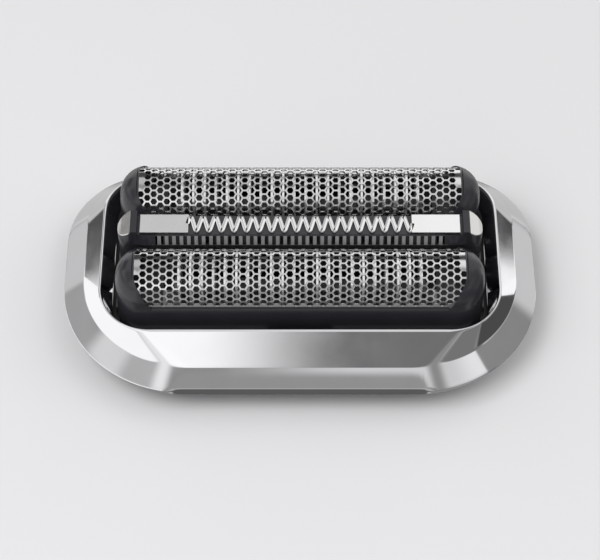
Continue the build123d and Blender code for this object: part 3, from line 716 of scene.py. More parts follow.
def relieved(point, sizes, limit, top):
    """Presses the lower edge in to a flat along the middle of the front and rear."""
    if point.z > top or abs(point.y) <= limit - sizes.relief_depth:
        return point
    past = abs(point.x) - sizes.relief_length / 2
    part = max(0.0, min(1.0, 0.5 - past / sizes.relief_blend))
    depth = sizes.relief_depth * part * part * (3 - 2 * part)
    flat = min(abs(point.y), limit - depth)
    return Vector((point.x, math.copysign(flat, point.y), point.z))


class FOILHEAD_OT_bezel(bpy.types.Operator):
    """Makes the plated bezel with its ridge, chamfer and flare"""
    bl_idname = "foilhead.bezel"
    bl_label = "Bezel"

    def execute(self, context):
        sizes = context.scene.foil_head_bezel
        levels = bezel_levels(sizes)
        girth, relief_top = levels[1][0], levels[2][0]
        limit, top = girth[1], relief_top[4] + WELD
        rings = []
        for level in rounded_levels(levels, sizes.round_steps):
            rings.append([relieved(p, sizes, limit, top) for p in outline(level, sizes.corner_strips)])
        shell = smooth(bar("bezel_shell", rings, closed=True), angle=60)
        finished(shell, "bezel", "bright_plate")
        return {"FINISHED"}


# Trees for what repeats

class NodeTree:
    """One geometry node tree, with named inputs by the kind of their sockets, and a material."""

    def __init__(self, name, **inputs):
        self.tree = bpy.data.node_groups.new(name, "GeometryNodeTree")
        face = self.tree.interface
        kinds = {"Geometry": ["Geometry"], **inputs, "Material": ["Material"]}
        self.identifiers = {}
        for kind, labels in kinds.items():
            for label in labels:
                made = face.new_socket(label, in_out="INPUT", socket_type="NodeSocket" + kind)
                self.identifiers[label] = made.identifier
        face.new_socket("Geometry", in_out="OUTPUT", socket_type="NodeSocketGeometry")
        source = self.tree.nodes.new("NodeGroupInput")
        self.given = {label: Wire(source, label) for label in self.identifiers}

    def add(self, kind, settings=None, output=0, **operands):
        """One output of a new node in this tree."""
        return add(self.tree, kind, settings, output, **operands)

    def place(self, **axes):
        """A place from its X, Y and Z."""
        return self.add("ShaderNodeCombineXYZ", **axes)

    def join(self, *parts):
        """Several geometries as one."""
        node = self.tree.nodes.new("GeometryNodeJoinGeometry")
        for part in parts:
            feed(node.inputs[0], part)
        return Wire(node)

    def weld(self, geometry):
        """A geometry with the points that meet merged."""
        return self.add("GeometryNodeMergeByDistance", Geometry=geometry, Distance=NODE_WELD)

    def close(self, geometry):
        """Ends the tree in plain geometry with its material."""
        plain = self.add("GeometryNodeRealizeInstances", Geometry=geometry)
        coated = self.add("GeometryNodeSetMaterial", Geometry=plain, Material=self.given["Material"])
        feed(self.tree.nodes.new("NodeGroupOutput").inputs[0], coated)
        return self

    def run(self, piece, **values):
        """Runs the tree on a piece and keeps the result as its plain mesh."""
        modifier = piece.modifiers.new(self.tree.name, "NODES")
        modifier.node_group = self.tree
        for label, value in values.items():
            modifier[self.identifiers[label.replace("_", " ")]] = value
        return baked(piece)


# Foils and their carriers

# Plain cells beyond the holes at each edge of a foil, and how far a foil reaches past its window
EDGE_CELLS = 1
FOIL_TUCK = 0.15 * MM
# Lugs that slide in the chassis: how far they stand out, their half widths, their top, how far they reach
# into a carrier, and the step below its end
FOIL_LUG_REACH = 1.2 * MM
FOIL_LUG_HALF = 1.2 * MM
TRIMMER_LUG_HALF = 0.9 * MM
LUG_TOP = 7.1 * MM
LUG_ROOT = 1.9 * MM
LUG_STEP = 0.05 * MM
# Room for the stroke at each end of a cutter block
BLOCK_ROOM = 1.4 * MM


def hexagon(across):
    """Corners of a flat six-sided figure with a pair of sides along X."""
    turns = [math.pi / 3 * i for i in range(6)]
    return [(across / math.sqrt(3) * math.cos(t), across / math.sqrt(3) * math.sin(t), 0) for t in turns]


def foil_tile(sizes, holed):
    """One flat six-sided cell of the foil, with or without its hole."""
    points, faces = hexagon(sizes.pitch), [tuple(range(6))]
    if holed:
        points = points + hexagon(sizes.hole)
        faces = [(i, (i + 1) % 6, 6 + (i + 1) % 6, 6 + i) for i in range(6)]
    tile = bpy.data.meshes.new("foil_tile")
    tile.from_pydata(points, [], faces)
    return link("foil_tile", tile)


def perforated_tree():
    """Cells in columns, every other column half a cell higher, thickened and bent round the arch."""
    nodes = NodeTree(
        "perforated_foil",
        Object=("Holed Tile", "Plain Tile"),
        Int=("Columns", "Rows", "Edge Columns", "Edge Rows"),
        Float=("Pitch", "Plain Spot", "Sheet", "Half Length", "Radius", "Middle Y", "Middle Z"),
    )
    given = nodes.given
    pitch, radius = given["Pitch"], given["Radius"]

    # Where each cell lies in the flat sheet
    all_columns = given["Columns"] + given["Edge Columns"] * 2
    all_rows = given["Rows"] + given["Edge Rows"] * 2
    index = nodes.add("GeometryNodeInputIndex")
    column = ((index + 0.5) / all_rows).math("FLOOR")
    row = index - column * all_rows
    half_up = column.math("MODULO", 2) * 0.5
    from_middle = column - (all_columns - 1) * 0.5
    up_from_middle = row + half_up - (all_rows - 0.5) * 0.5
    across = up_from_middle * pitch
    flat_place = nodes.place(X=from_middle * (pitch * (math.sqrt(3) / 2)), Y=across)
    cells = nodes.add("GeometryNodeMeshLine", Count=all_columns * all_rows)
    points = nodes.add("GeometryNodeSetPosition", Geometry=cells, Position=flat_place)

    # Which cells have a hole
    in_columns = from_middle.math("ABSOLUTE").math("LESS_THAN", given["Columns"] * 0.5)
    off_spot = across.math("ABSOLUTE").math("GREATER_THAN", given["Plain Spot"])
    above = (row + 0.5).math("GREATER_THAN", given["Edge Rows"])
    below = row.math("LESS_THAN", given["Edge Rows"] + given["Rows"])
    holed = in_columns.math("MAXIMUM", off_spot) * (above * below)
    tiles = []
    for label, chosen in (("Holed Tile", holed), ("Plain Tile", 1 - holed)):
        tile = nodes.add("GeometryNodeObjectInfo", output="Geometry", Object=given[label])
        tiles.append(
            nodes.add("GeometryNodeInstanceOnPoints", Points=points, Selection=chosen, Instance=tile)
        )

    # A closed sheet, then its bend
    outside = nodes.weld(nodes.add("GeometryNodeRealizeInstances", Geometry=nodes.join(*tiles)))
    sunk = nodes.add(
        "GeometryNodeExtrudeMesh", Mesh=outside, Offset_Scale=-given["Sheet"], Individual=False
    )
    inside = nodes.add("GeometryNodeFlipFaces", Mesh=sunk)
    sheet = nodes.weld(nodes.join(inside, outside))
    x, y, z = split(nodes.add("GeometryNodeInputPosition"))
    round_part = y.within(radius * (math.pi / 2))
    straight_part = (y - round_part).math("ABSOLUTE")
    turn = round_part / radius
    out = radius + z
    bent_y = out * turn.math("SINE") + given["Middle Y"]
    bent_z = out * turn.math("COSINE") + given["Middle Z"]
    bent = nodes.place(X=x.within(given["Half Length"]), Y=bent_y, Z=bent_z - straight_part)
    return nodes.close(nodes.add("GeometryNodeSetPosition", Geometry=sheet, Position=bent))


class FOILHEAD_OT_foils(bpy.types.Operator):
    """Makes the two perforated foils"""
    bl_idname = "foilhead.foils"
    bl_label = "Foils"

    def execute(self, context):
        sizes = context.scene.foil_head_foil
        nodes = perforated_tree()
        holed, plain = foil_tile(sizes, True), foil_tile(sizes, False)
        for side in SIDES:
            low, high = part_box(side + "_foil")
            radius = (high.y - low.y) / 2
            foil = nodes.run(
                piece_from(side + "_foil_sheet"),
                Holed_Tile=holed,
                Plain_Tile=plain,
                Columns=sizes.columns,
                Rows=sizes.rows,
                Edge_Columns=EDGE_CELLS,
                Edge_Rows=EDGE_CELLS,
                Pitch=sizes.pitch,
                Plain_Spot=sizes.plain_spot,
                Sheet=sizes.sheet,
                Half_Length=sizes.window_length / 2 + FOIL_TUCK,
                Radius=radius,
                Middle_Y=(low.y + high.y) / 2,
                Middle_Z=high.z - radius,
                Material=finish_for("foil_steel"),
            )
            finished(smooth(foil, angle=40), side + "_foil", "foil_steel")
        discard(holed, plain)
        return {"FINISHED"}


def arch(middle, half_width, bottom, arch_z, strips, rise=1.0):
    """One section of a carrier: straight sides with a half round on top."""
    section = [(middle - half_width, bottom)]
    for i in range(strips + 1):
        turn = math.pi * (1 - i / strips)
        up = rise * half_width * math.sin(turn)
        section.append((middle + half_width * math.cos(turn), arch_z + up))
    section.append((middle + half_width, bottom))
    return section


def window_tool(sizes, middle, reach, top, arch_z):
    """The prism that opens a carrier's window, narrower at its foot."""
    half_crown, half_foot = sizes.window_length / 2, sizes.window_foot / 2
    shoulder, foot = arch_z + sizes.window_shoulder, arch_z - sizes.window_drop
    right = [(half_foot, foot), (half_crown, shoulder), (half_crown, top)]
    return bar("window", [[(x, middle + y, z) for x, z in mirrored(right)] for y in (-reach, reach)])


def lugs(box, middle, half_width, half_length, bottom):
    """The lugs below a carrier's two ends, and their feet under the carrier itself."""
    low, high = box
    tools = []
    for end in ENDS:
        for reach, top in ((high.x, LUG_TOP), (half_length - LUG_STEP, bottom + MM)):
            x0, x1 = sorted((end * (half_length - LUG_ROOT), end * reach))
            tools.append(box_tool("lug", (x0, middle - half_width, low.z), (x1, middle + half_width, top)))
    return tools


class FOILHEAD_OT_foil_carriers(bpy.types.Operator):
    """Makes the dark carriers that hold the foils"""
    bl_idname = "foilhead.foil_carriers"
    bl_label = "Foil carriers"

    def execute(self, context):
        sizes = context.scene.foil_head_foil
        for side in SIDES:
            self.make(side, sizes)
        return {"FINISHED"}

    def make(self, side, sizes):
        low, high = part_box(side + "_foil_frame")
        foil_low, foil_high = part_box(side + "_foil")
        block_low, block_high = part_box(side + "_cutter_block")
        middle, half_width = (low.y + high.y) / 2, (high.y - low.y) / 2
        foil_radius = (foil_high.y - foil_low.y) / 2
        arch_z, bottom = foil_high.z - foil_radius, block_low.z
        half_length = high.x - FOIL_LUG_REACH
        strips = sizes.arch_strips

        def section(shrink, turn):
            return arch(middle, half_width - shrink, bottom, arch_z, strips, sizes.carrier_rise)

        name = side + "_foil_carrier"
        carrier = rounded_bar(name, half_length, sizes.carrier_end_round, sizes.end_steps, section)
        groove = arch(middle, foil_radius + SLIP, foil_low.z, arch_z, strips)
        groove_end = foil_high.x + SLIP
        inside, bay = half_width - sizes.carrier_wall, block_high.x + BLOCK_ROOM
        cut(
            carrier,
            "DIFFERENCE",
            bar("groove", rings_at((-groove_end, groove_end), groove)),
            box_tool("bay", (-bay, middle - inside, bottom - MM), (bay, middle + inside, foil_low.z + MM)),
            window_tool(sizes, middle, 2 * half_width, high.z + MM, arch_z),
        )
        ends = lugs((low, high), middle, FOIL_LUG_HALF, half_length, bottom)
        cut(carrier, "UNION", *[eased(lug, sizes.lug_round) for lug in ends])
        finished(smooth(carrier, angle=32), side + "_foil_frame", "dark_gloss_plastic")


# Middle trimmer

# The carrier's wall, the half length of its bay, the room for the lifting blade's stroke, and how far an
# arm reaches into its cap
TRIMMER_WALL = 0.55 * MM
TRIMMER_BAY = 18.35 * MM
POCKET_ROOM = 1.35 * MM
ARM_ROOT = 0.4 * MM
# Painted highlights: reach from a cap's slope, soft edges on caps and comb teeth, metallic value on caps
CAP_HIGHLIGHT_EDGE = 0.14 * MM
CAP_HIGHLIGHT_FADE = 0.08 * MM
COMB_HIGHLIGHT_FADE = 0.1 * MM
CAP_HIGHLIGHT_METALLIC = 0.9
# Where the comb's slots start and end, as shares of the guard's sloping shoulder
COMB_SPAN = (0.12, 0.86)
# Points in one wave of the lifting blade, and its plain ends' rounding and overlap with the ribbon
WAVE_POINTS = 28
PLATE_ROUND = 0.06 * MM
PLATE_OVERLAP = 0.15 * MM


def guard_section(sizes):
    """Corners of the guard's folded section in Y and Z, from one leg over the top to the other."""
    low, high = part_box("trimmer_guard")
    shoulder = high.z - sizes.guard_shoulder_drop
    return mirrored([(sizes.guard_top_half_width, high.z), (high.y, shoulder), (high.y, low.z)])


def trimmer_bar(sizes, half_length, bottom):
    """The solid bar of the trimmer's carrier, with its ends rounded off and their tops sloping."""
    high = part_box("trimmer_frame")[1]
    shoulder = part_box("trimmer_guard")[1].z - sizes.guard_shoulder_drop
    slope = (high.y - sizes.cap_top_half_width) / (high.z - shoulder)

    def section(shrink, turn):
        side = high.y - shrink
        top = high.z - sizes.cap_slope * sizes.cap_round * math.sin(turn)
        return mirrored([(side - slope * (top - shoulder), top), (side, shoulder), (side, bottom)])

    return rounded_bar("trimmer_carrier", half_length, sizes.cap_round, sizes.cap_steps, section)


def cap_arms(sizes, end, clear):
    """The two thin arms of one end cap, which lie along the guard's shoulders beside the lifting blade."""
    corners = guard_section(sizes)
    side, top = Vector(corners[4]), Vector(corners[3])
    outward = Vector((top.y - side.y, side.x - top.x)).normalized()
    down = (side - top).normalized()
    foot = top + down * (sizes.cap_arm_drop / abs(down.y))
    near, far = outward * SLIP, outward * (sizes.cap_arm_sheet + SLIP)
    face = [foot + near, top + near, top + far, foot + far]
    guard_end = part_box("trimmer_guard")[1].x
    xs = (end * (guard_end + ARM_ROOT), end * (guard_end - sizes.cap_arm_length))
    return [bar("arm", rings_at(xs, [(hand * max(p.x, clear), p.y) for p in face])) for hand in ENDS]


class FOILHEAD_OT_trimmer_carrier(bpy.types.Operator):
    """Makes the trimmer's carrier with its bracket-shaped end caps"""
    bl_idname = "foilhead.trimmer_carrier"
    bl_label = "Trimmer carrier"

    def execute(self, context):
        sizes = context.scene.foil_head_trimmer
        low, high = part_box("trimmer_frame")
        guard_low, guard_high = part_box("trimmer_guard")
        blade_low, blade_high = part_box("trimmer_lifting_blade")
        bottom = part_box("trimmer_slider")[0].z
        inner, half_length = guard_high.x, guard_high.x + sizes.cap_length
        wide, inside, pocket = 2 * high.y, high.y - TRIMMER_WALL, blade_high.y + CLEARANCE
        carrier = cut(
            trimmer_bar(sizes, half_length, bottom),
            "DIFFERENCE",
            box_tool("middle", (-inner, -wide, guard_low.z), (inner, wide, high.z + MM)),
            box_tool("bay", (-TRIMMER_BAY, -inside, bottom - MM), (TRIMMER_BAY, inside, guard_low.z + MM)),
            box_tool(
                "pocket",
                (blade_low.x - POCKET_ROOM, -pocket, guard_high.z),
                (blade_high.x + POCKET_ROOM, pocket, blade_high.z + CLEARANCE),
            ),
        )
        arms = cap_arms(sizes, -1, pocket) + cap_arms(sizes, 1, pocket)
        cut(carrier, "UNION", *arms, *lugs((low, high), 0, TRIMMER_LUG_HALF, half_length, bottom))
        smooth(eased(carrier, sizes.edge_round, segments=3, sharper_than=30), angle=40)
        # Painted highlight: the sloping tops of the end caps get a silver, metallic colour
        highlighted_finish = self.silvered_finish(sizes, half_length, high.z)
        finished(carrier, "trimmer_frame", "dark_gloss_plastic", highlighted_finish)
        return {"FINISHED"}

    def silvered_finish(self, sizes, half_length, top):
        """The carrier's plastic with a painted highlight, a silver and metallic colour, on the sloping top
        of each end cap.
        """
        def mask(x, y, z):
            outward = x.math("ABSOLUTE") - (half_length - sizes.cap_round)
            slope_z = top - outward * sizes.cap_slope
            on_slope = in_band(slope_z - z, -CAP_HIGHLIGHT_EDGE, CAP_HIGHLIGHT_EDGE, CAP_HIGHLIGHT_FADE)
            return on_slope * in_band(outward, CAP_HIGHLIGHT_EDGE, 2 * sizes.cap_length, CAP_HIGHLIGHT_FADE)

        cap_highlight_colour = bpy.context.scene.foil_head_finish.silvering
        return accented("dark_gloss_plastic", "silvered_bracket", mask, cap_highlight_colour, CAP_HIGHLIGHT_METALLIC)


def guard_cell(sizes):
    """One pitch of the guard as a single folded sheet, open at its two slots."""
    half, slot = sizes.comb_pitch / 2, sizes.comb_slot / 2
    corners = guard_section(sizes)
    line = [corners[0], corners[1]]
    for part in COMB_SPAN:
        line.append(tuple(a + (b - a) * part for a, b in zip(corners[1], corners[2])))
    line.append(corners[2])
    line += [(-y, z) for y, z in reversed(line)]
    points = [(x, y, z) for y, z in line for x in (-half, -slot, slot, half)]
    slots = {(2, 1), (len(line) - 4, 1)}
    faces = []
    for i in range(len(line) - 1):
        for j in range(3):
            if (i, j) not in slots:
                a = i * 4 + j
                faces.append((a, a + 1, a + 5, a + 4))
    return piece_from("guard_cell", points, faces)


def guard_ends(sizes):
    """The plain lengths of the guard beyond its comb."""
    low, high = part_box("trimmer_guard")
    comb_end = sizes.comb_slots * sizes.comb_pitch / 2
    corners = guard_section(sizes)
    points, faces = [], []
    for x0, x1 in ((low.x, -comb_end), (comb_end, high.x)):
        start = len(points)
        points += [(x, y, z) for y, z in corners for x in (x0, x1)]
        for i in range(len(corners) - 1):
            a = start + 2 * i
            faces.append((a, a + 1, a + 3, a + 2))
    return piece_from("trimmer_comb", points, faces)


def comb_tree():
    """Cells of the comb in a row, joined to the plain ends."""
    nodes = NodeTree("guard_comb", Object=["Cell"], Int=["Slots"], Float=["Pitch"])
    given = nodes.given
    first = nodes.place(X=(1 - given["Slots"]) * (given["Pitch"] * 0.5))
    step = nodes.place(X=given["Pitch"])
    row = nodes.add("GeometryNodeMeshLine", Count=given["Slots"], Start_Location=first, Offset=step)
    cell = nodes.add("GeometryNodeObjectInfo", output="Geometry", Object=given["Cell"])
    cells = nodes.add("GeometryNodeInstanceOnPoints", Points=row, Instance=cell)
    comb = nodes.add("GeometryNodeRealizeInstances", Geometry=cells)
    return nodes.close(nodes.weld(nodes.join(comb, given["Geometry"])))


class FOILHEAD_OT_trimmer_guard(bpy.types.Operator):
    """Makes the trimmer's folded guard with a comb along both shoulders"""
    bl_idname = "foilhead.trimmer_guard"
    bl_label = "Trimmer guard"

    def execute(self, context):
        sizes = context.scene.foil_head_trimmer
        # Painted highlight on the comb's teeth
        steel = self.ground_finish(sizes)
        cell = guard_cell(sizes)
        guard = comb_tree().run(
            guard_ends(sizes), Cell=cell, Slots=sizes.comb_slots, Pitch=sizes.comb_pitch, Material=steel
        )
        discard(cell)
        modified(guard, "SOLIDIFY", thickness=sizes.guard_sheet, offset=-1)
        finished(smooth(guard, angle=30), "trimmer_guard", "dark_steel", steel)
        return {"FINISHED"}

    def ground_finish(self, sizes):
        """The guard's steel with a painted highlight, a lighter colour, on the teeth of its comb."""
        top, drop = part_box("trimmer_guard")[1].z, sizes.guard_shoulder_drop
        foot, crown = [top - drop * (1 - part) for part in COMB_SPAN]

        def mask(x, y, z):
            return in_band(z, foot, crown, COMB_HIGHLIGHT_FADE)

        bright = bpy.context.scene.foil_head_finish.ground_steel
        return accented("dark_steel", "ground_comb", mask, bright)


def ribbon_tree():
    """A rounded zigzag along X, swept with a flat profile."""
    nodes = NodeTree(
        "wave_ribbon",
        Int=["Waves"],
        Float=("Pitch", "Swing", "Sharpness", "Width", "Sheet", "Rounding", "Middle Z"),
    )
    given = nodes.given
    half = given["Waves"] * given["Pitch"] * 0.5
    line = nodes.add("GeometryNodeCurvePrimitiveLine", Start=nodes.place(X=-half), End=nodes.place(X=half))
    fine = nodes.add("GeometryNodeResampleCurve", Curve=line, Count=given["Waves"] * WAVE_POINTS)
    x = split(nodes.add("GeometryNodeInputPosition"))[0]
    phase = x / given["Pitch"] * (2 * math.pi)
    swung = (phase.math("SINE") * given["Sharpness"]).math("ARCSINE")
    height = swung / given["Sharpness"].math("ARCSINE")
    place = nodes.place(X=x, Y=height * given["Swing"], Z=given["Middle Z"])
    wave = nodes.add("GeometryNodeSetPosition", Geometry=fine, Position=place)
    upright = nodes.add("GeometryNodeSetCurveNormal", {"mode": "Z_UP"}, Curve=wave)
    flat = nodes.add("GeometryNodeCurvePrimitiveQuadrilateral", Width=given["Width"], Height=given["Sheet"])
    profile = nodes.add(
        "GeometryNodeFilletCurve", {"mode": "POLY"}, Curve=flat, Radius=given["Rounding"], Count=2
    )
    swept = nodes.add("GeometryNodeCurveToMesh", Curve=upright, Profile_Curve=profile, Fill_Caps=True)
    return nodes.close(swept)


class FOILHEAD_OT_lifting_blade(bpy.types.Operator):
    """Makes the trimmer's bright lifting blade, a wavy ribbon between two plain ends"""
    bl_idname = "foilhead.lifting_blade"
    bl_label = "Lifting blade"

    def execute(self, context):
        sizes = context.scene.foil_head_trimmer
        low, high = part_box("trimmer_lifting_blade")
        ribbon = ribbon_tree().run(
            piece_from("lifting_strip"),
            Waves=sizes.waves,
            Pitch=sizes.wave_pitch,
            Swing=high.y - sizes.ribbon_width / 2,
            Sharpness=sizes.wave_sharpness,
            Width=sizes.ribbon_width,
            Sheet=high.z - low.z,
            Rounding=sizes.ribbon_round,
            Middle_Z=(low.z + high.z) / 2,
            Material=finish_for("polished_steel"),
        )
        wave_end = sizes.waves * sizes.wave_pitch / 2 - PLATE_OVERLAP
        for x0, x1 in ((low.x, -wave_end), (wave_end, high.x)):
            plate = eased(box_tool("end_plate", (x0, low.y, low.z), (x1, high.y, high.z)), PLATE_ROUND)
            with editing(ribbon.data) as work:
                work.from_mesh(plate.data)
            discard(plate)
        finished(smooth(ribbon, angle=40), "trimmer_lifting_blade", "polished_steel")
        return {"FINISHED"}


# Works below the foils

# Mouldings: the slot of each, and the rounding of its edges in millimetres
MOULDINGS = {
    "chassis": ("black_plastic", 0.12),
    "base_frame": ("black_plastic", 0.15),
    "drive_bridge": ("drive_plastic", 0.12),
    "trimmer_slider": ("drive_plastic", 0.08),
    "front_cutter_block": ("drive_plastic", 0.1),
    "rear_cutter_block": ("drive_plastic", 0.1),
}
# Cutters, which stay as they are in the solids: the slot of each, and its finish
CUTTERS = {
    "front_cutter_blades": ("blade_steel", "blade_steel"),
    "rear_cutter_blades": ("blade_steel", "blade_steel"),
    # The inner cutter's dark finish is painted shade for the comb's slots
    "trimmer_inner_cutter": ("blade_steel", "toothed_steel"),
}
# Points in one turn of a coil and round its wire
TURN_POINTS = 28
WIRE_POINTS = 10


class FOILHEAD_OT_works(bpy.types.Operator):
    """Finishes the chassis, base frame, cutters and drive bridge"""
    bl_idname = "foilhead.works"
    bl_label = "Works"

    def execute(self, context):
        for node, (slot, width) in MOULDINGS.items():
            finished(softened(node, node + "_moulding", width * MM), node, slot)
        for node, (slot, look) in CUTTERS.items():
            solid = painted(frame["nodes"][node], finish_for(look))
        return {"FINISHED"}


def coil_tree():
    """A pair of like coils, one on each side of the middle."""
    nodes = NodeTree(
        "coil_springs",
        Float=("Turns", "Radius", "Wire", "Height", "Offset", "Middle Y", "Foot Z"),
    )
    given = nodes.given
    half_wire = given["Wire"] * 0.5
    turning = given["Radius"] - half_wire
    path = nodes.add(
        "GeometryNodeCurveSpiral",
        Resolution=TURN_POINTS,
        Rotations=given["Turns"],
        Start_Radius=turning,
        End_Radius=turning,
        Height=given["Height"] - given["Wire"],
    )
    section = nodes.add("GeometryNodeCurvePrimitiveCircle", Resolution=WIRE_POINTS, Radius=half_wire)
    wire = nodes.add("GeometryNodeCurveToMesh", Curve=path, Profile_Curve=section, Fill_Caps=True)
    first = nodes.place(X=-given["Offset"], Y=given["Middle Y"], Z=given["Foot Z"] + half_wire)
    step = nodes.place(X=given["Offset"] * 2)
    pair = nodes.add("GeometryNodeMeshLine", Count=2, Start_Location=first, Offset=step)
    return nodes.close(nodes.add("GeometryNodeInstanceOnPoints", Points=pair, Instance=wire))


class FOILHEAD_OT_springs(bpy.types.Operator):
    """Makes the coil springs under the floating elements"""
    bl_idname = "foilhead.springs"
    bl_label = "Springs"

    def execute(self, context):
        sizes = context.scene.foil_head_spring
        nodes = coil_tree()
        for joint in frame["joints"]:
            for spring in joint.get("deforming_nodes", []):
                self.make(nodes, sizes, joint, spring["node"], spring["fixed_end_z_m"])
        return {"FINISHED"}

    def make(self, nodes, sizes, joint, node, foot):
        low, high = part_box(node)
        under_trimmer = joint["child"] == "trimmer_unit"
        coils = nodes.run(
            piece_from(node + "_coil"),
            Turns=sizes.turns,
            Radius=sizes.trimmer_radius if under_trimmer else sizes.foil_radius,
            Wire=sizes.wire,
            Height=high.z - low.z,
            Offset=sizes.trimmer_offset if under_trimmer else sizes.foil_offset,
            Middle_Y=(low.y + high.y) / 2,
            Foot_Z=low.z,
            Material=finish_for("spring_steel"),
        )
        finished(smooth(coils, angle=40), node, "spring_steel")
        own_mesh(coils)


# Stage

# Level of the grey room between the cards
ROOM_LEVEL = 0.34
# Lamps: place and width in metres, and power in watts
LAMPS = {
    "key_lamp": ((-0.25, -0.15, 0.5), 0.35, 2.2),
    "fill_lamp": ((0.35, -0.05, 0.4), 0.4, 0.8),
}
FLOOR_ROUGHNESS = 0.6
# Half width of the floor, and where the camera starts to see, in metres
FLOOR_REACH = 2.0
CLIP_START = 0.01
# Each card: bearing from and to, height from and to at its left end, softness and brightness, and how many
# degrees its height rises for each degree of bearing. Angles are in degrees. Bearing 0 is the front and -90
# the left; the back cards count their bearing from the back.
FRONT_CARDS = [
    (-200, 200, -95, -4, 6, 0.45, 0),
    (-127.45, -20, -40, 20, 0.5, 1.15, 0),
    (-60, 6, 14, 46, 7, 1.20, 0),
    (-150, -112, -14.5, 2, 4, 0.64, 0),
    (-122, -66, -12, -2, 4, 0.40, 0.35),
    (-70, 3, 9.5, 14.8, 3, 0.31, 0),
    (-60, -23, 8, 16, 8, 0.50, 0),
    (-82, -54, 4, 16, 12, 0.78, 0),
    (-28, -18, 8, 19, 8, 0.96, 0),
    (-1, 70, 13, 46, 5.5, 0.19, 0),
    (-0.5, 70, 9, 15, 5, 0.76, 0),
    (44, 80, 0, 24, 24, 0.95, 0),
    (17, 27, 7, 18, 8, 0.30, 0),
    (14, 66, -24, 8, 6, 0.21, 0),
    (62, 119, -60, -16, 3, 0.08, 0),
    (58.5, 122, 5, 17, 1.5, 0.28, -0.28),
    (108, 150, -14.5, 3, 10, 0.66, 0),
    (118.5, 128.1, -40, -14, 0.6, 1.15, 0),
    (128.1, 140, -40, -14, 0.6, 0.07, 0),
    (132, 175, -60, -14, 5, 0.62, 0),
    (-140, -127.45, -40, -14.5, 0.5, 0.09, 0),
    (-175, -132, -60, -14, 5, 0.62, 0),
    (-40, 40, -85, -36, 10, 0.12, 0),
    (-100, 100, 44, 95, 12, 0.80, 0),
    (112, 140, 3, 22, 5, 0.85, 0),
    (-150, -112, 2, 30, 5, 0.10, 0),
    (112, 140, 26, 40, 6, 3.0, 0),
    (-140, -112, 34, 46, 6, 1.5, 0),
]
BACK_CARDS = [
    (-42, 42, -16, 20, 5, 1.15, 0),
    (-20, 20, 21, 44, 4, 0.06, 0),
    (-80, -22, 20, 60, 6, 0.95, 0),
    (22, 80, 20, 60, 6, 0.95, 0),
    (-22, 0, 46, 78, 4, 0.60, 0),
    (0, 22, 46, 78, 4, 1.00, 0),
    (-42, 42, -75, -18, 6, 0.58, 0),
    (-42, 42, -85, -44, 8, 0.26, 0),
]


def studio_card():
    """A soft-edged patch of the sky between two bearings and two heights."""
    inputs = {
        "Bearing": 0.0,
        "Height": 0.0,
        "Left": -1.0,
        "Right": 1.0,
        "Bottom": 0.0,
        "Top": 1.0,
        "Softness": 0.1,
        "Tilt": 0.0,
    }
    group, given, made = shader_group("studio_card", inputs, ["Mask"])
    bearing, height, left, right, bottom, top, softness, tilt = given
    level_height = height - (bearing - left) * tilt
    across = in_band(bearing, left, right, softness)
    feed(made["Mask"], across * in_band(level_height, bottom, top, softness))
    return group


def studio_world(settings):
    """Soft cards round a grey room. The camera itself sees the plain backdrop."""
    world = bpy.data.worlds.new("studio")
    bpy.context.scene.world = world
    world.use_nodes = True
    tree = world.node_tree
    tree.nodes.clear()
    x, y, z = split(add(tree, "ShaderNodeTexCoord", output="Generated"))
    height = z.math("ARCSINE")
    front, back = x.math("ARCTAN2", -y), x.math("ARCTAN2", y)
    level = ROOM_LEVEL
    for bearing, cards in ((front, FRONT_CARDS), (back, BACK_CARDS)):
        for *edges, brightness, tilt in cards:
            angles = dict(zip(("Left", "Right", "Bottom", "Top", "Softness"), map(math.radians, edges)))
            place = {"Bearing": bearing, "Height": height, "Tilt": tilt, **angles}
            card = place_group(tree, studio_card, "Mask", **place)
            level = add(tree, "ShaderNodeMix", output="Result", Factor=card, A=level, B=brightness)
    room = add(tree, "ShaderNodeBackground", Color=level)
    seen = add(tree, "ShaderNodeBackground", Color=(*settings.backdrop, 1))
    chosen = tree.nodes.new("ShaderNodeMixShader")
    by_camera = add(tree, "ShaderNodeLightPath", output="Is Camera Ray")
    for socket, wire in zip(chosen.inputs, (by_camera, room, seen)):
        feed(socket, wire)
    feed_all(tree.nodes.new("ShaderNodeOutputWorld"), Surface=Wire(chosen))


def aimed(holder, place, target):
    """Puts a lamp or camera in a place, pointing at a target."""
    holder.location = place
    holder.rotation_euler = (target - holder.location).to_track_quat("-Z", "Y").to_euler()
    return holder


def soft_lamp(name, place, size, power, target):
    """A square soft lamp that points at a target and isn't seen itself."""
    lamp = bpy.data.lights.new(name, "AREA")
    lamp.shape = "SQUARE"
    lamp.size = size
    lamp.energy = power
    holder = aimed(link(name, lamp), place, target)
    holder.visible_camera = False
    holder.visible_glossy = False


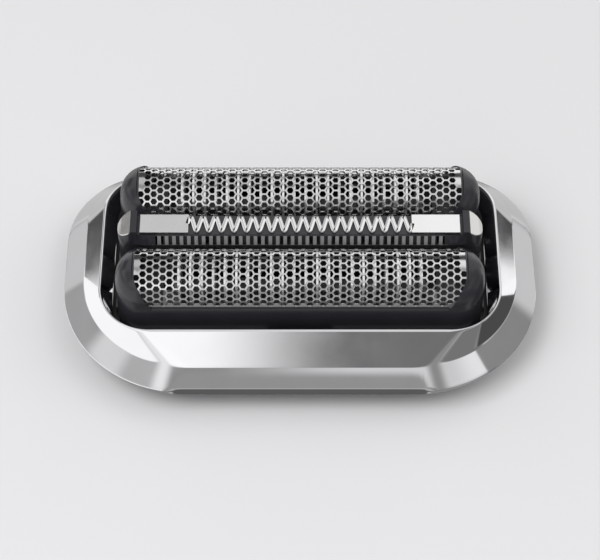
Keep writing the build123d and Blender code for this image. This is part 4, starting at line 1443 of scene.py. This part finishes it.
class FOILHEAD_OT_stage(bpy.types.Operator):
    """Makes the floor, the light and the camera"""
    bl_idname = "foilhead.stage"
    bl_label = "Stage"

    def execute(self, context):
        settings = context.scene.foil_head_stage
        context.scene.view_settings.view_transform = "Standard"
        self.floor(settings)
        studio_world(settings)
        for name, (place, size, power) in LAMPS.items():
            soft_lamp(name, place, size, power, Vector((0, 0, cad_box[1][2])))
        self.camera(context, settings)
        return {"FINISHED"}

    def floor(self, settings):
        reach = FLOOR_REACH
        corners = [(-reach, -reach, 0), (reach, -reach, 0), (reach, reach, 0), (-reach, reach, 0)]
        floor = piece_from("floor", corners, [(0, 1, 2, 3)])
        paint = bpy.data.materials.new("floor_paint")
        paint.use_nodes = True
        shader = paint.node_tree.nodes["Principled BSDF"]
        feed_all(shader, Base_Color=(*settings.floor, 1), Roughness=FLOOR_ROUGHNESS)
        painted(floor, paint).visible_glossy = False
        floor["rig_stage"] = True

    def camera(self, context, settings):
        rise, level = math.sin(settings.elevation), math.cos(settings.elevation)
        watched = Vector((0, 0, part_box("trimmer_lifting_blade")[1].z))
        target = watched - Vector((0, rise, level)) * settings.aim_drop
        holder = link("camera", bpy.data.cameras.new("camera"))
        holder.data.lens = settings.lens
        holder.data.clip_start = CLIP_START
        aimed(holder, watched + Vector((0, -level, rise)) * settings.distance, target)
        context.scene.camera = holder


# Panel and registration

STEPS = (
    FOILHEAD_OT_bezel,
    FOILHEAD_OT_foil_carriers,
    FOILHEAD_OT_foils,
    FOILHEAD_OT_trimmer_carrier,
    FOILHEAD_OT_trimmer_guard,
    FOILHEAD_OT_lifting_blade,
    FOILHEAD_OT_works,
    FOILHEAD_OT_springs,
    FOILHEAD_OT_stage,
)


class FOILHEAD_PT_panel(bpy.types.Panel):
    """Lists the steps that dress the head"""
    bl_idname = "FOILHEAD_PT_panel"
    bl_label = "Foil Head"
    bl_space_type = "VIEW_3D"
    bl_region_type = "UI"
    bl_category = "Foil Head"

    def draw(self, context):
        for step in STEPS:
            self.layout.operator(step.bl_idname)


SETTINGS = {
    "foil_head_bezel": BezelSettings,
    "foil_head_foil": FoilSettings,
    "foil_head_trimmer": TrimmerSettings,
    "foil_head_spring": SpringSettings,
    "foil_head_finish": FinishSettings,
    "foil_head_stage": StageSettings,
}
CLASSES = (*SETTINGS.values(), *STEPS, FOILHEAD_PT_panel)


def register():
    for each in CLASSES:
        bpy.utils.register_class(each)
    for name, group in SETTINGS.items():
        setattr(bpy.types.Scene, name, PointerProperty(type=group))


def unregister():
    for name in SETTINGS:
        delattr(bpy.types.Scene, name)
    for each in reversed(CLASSES):
        bpy.utils.unregister_class(each)


def main():
    register()
    bpy.ops.foilhead.bezel()
    bpy.ops.foilhead.foil_carriers()
    bpy.ops.foilhead.foils()
    bpy.ops.foilhead.trimmer_carrier()
    bpy.ops.foilhead.trimmer_guard()
    bpy.ops.foilhead.lifting_blade()
    bpy.ops.foilhead.works()
    bpy.ops.foilhead.springs()
    bpy.ops.foilhead.stage()
    boxes = {"cad": cad_box, "visual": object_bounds()}
    {name: [list(corner) for corner in box] for name, box in boxes.items()}


if __name__ == "__main__":
    main()
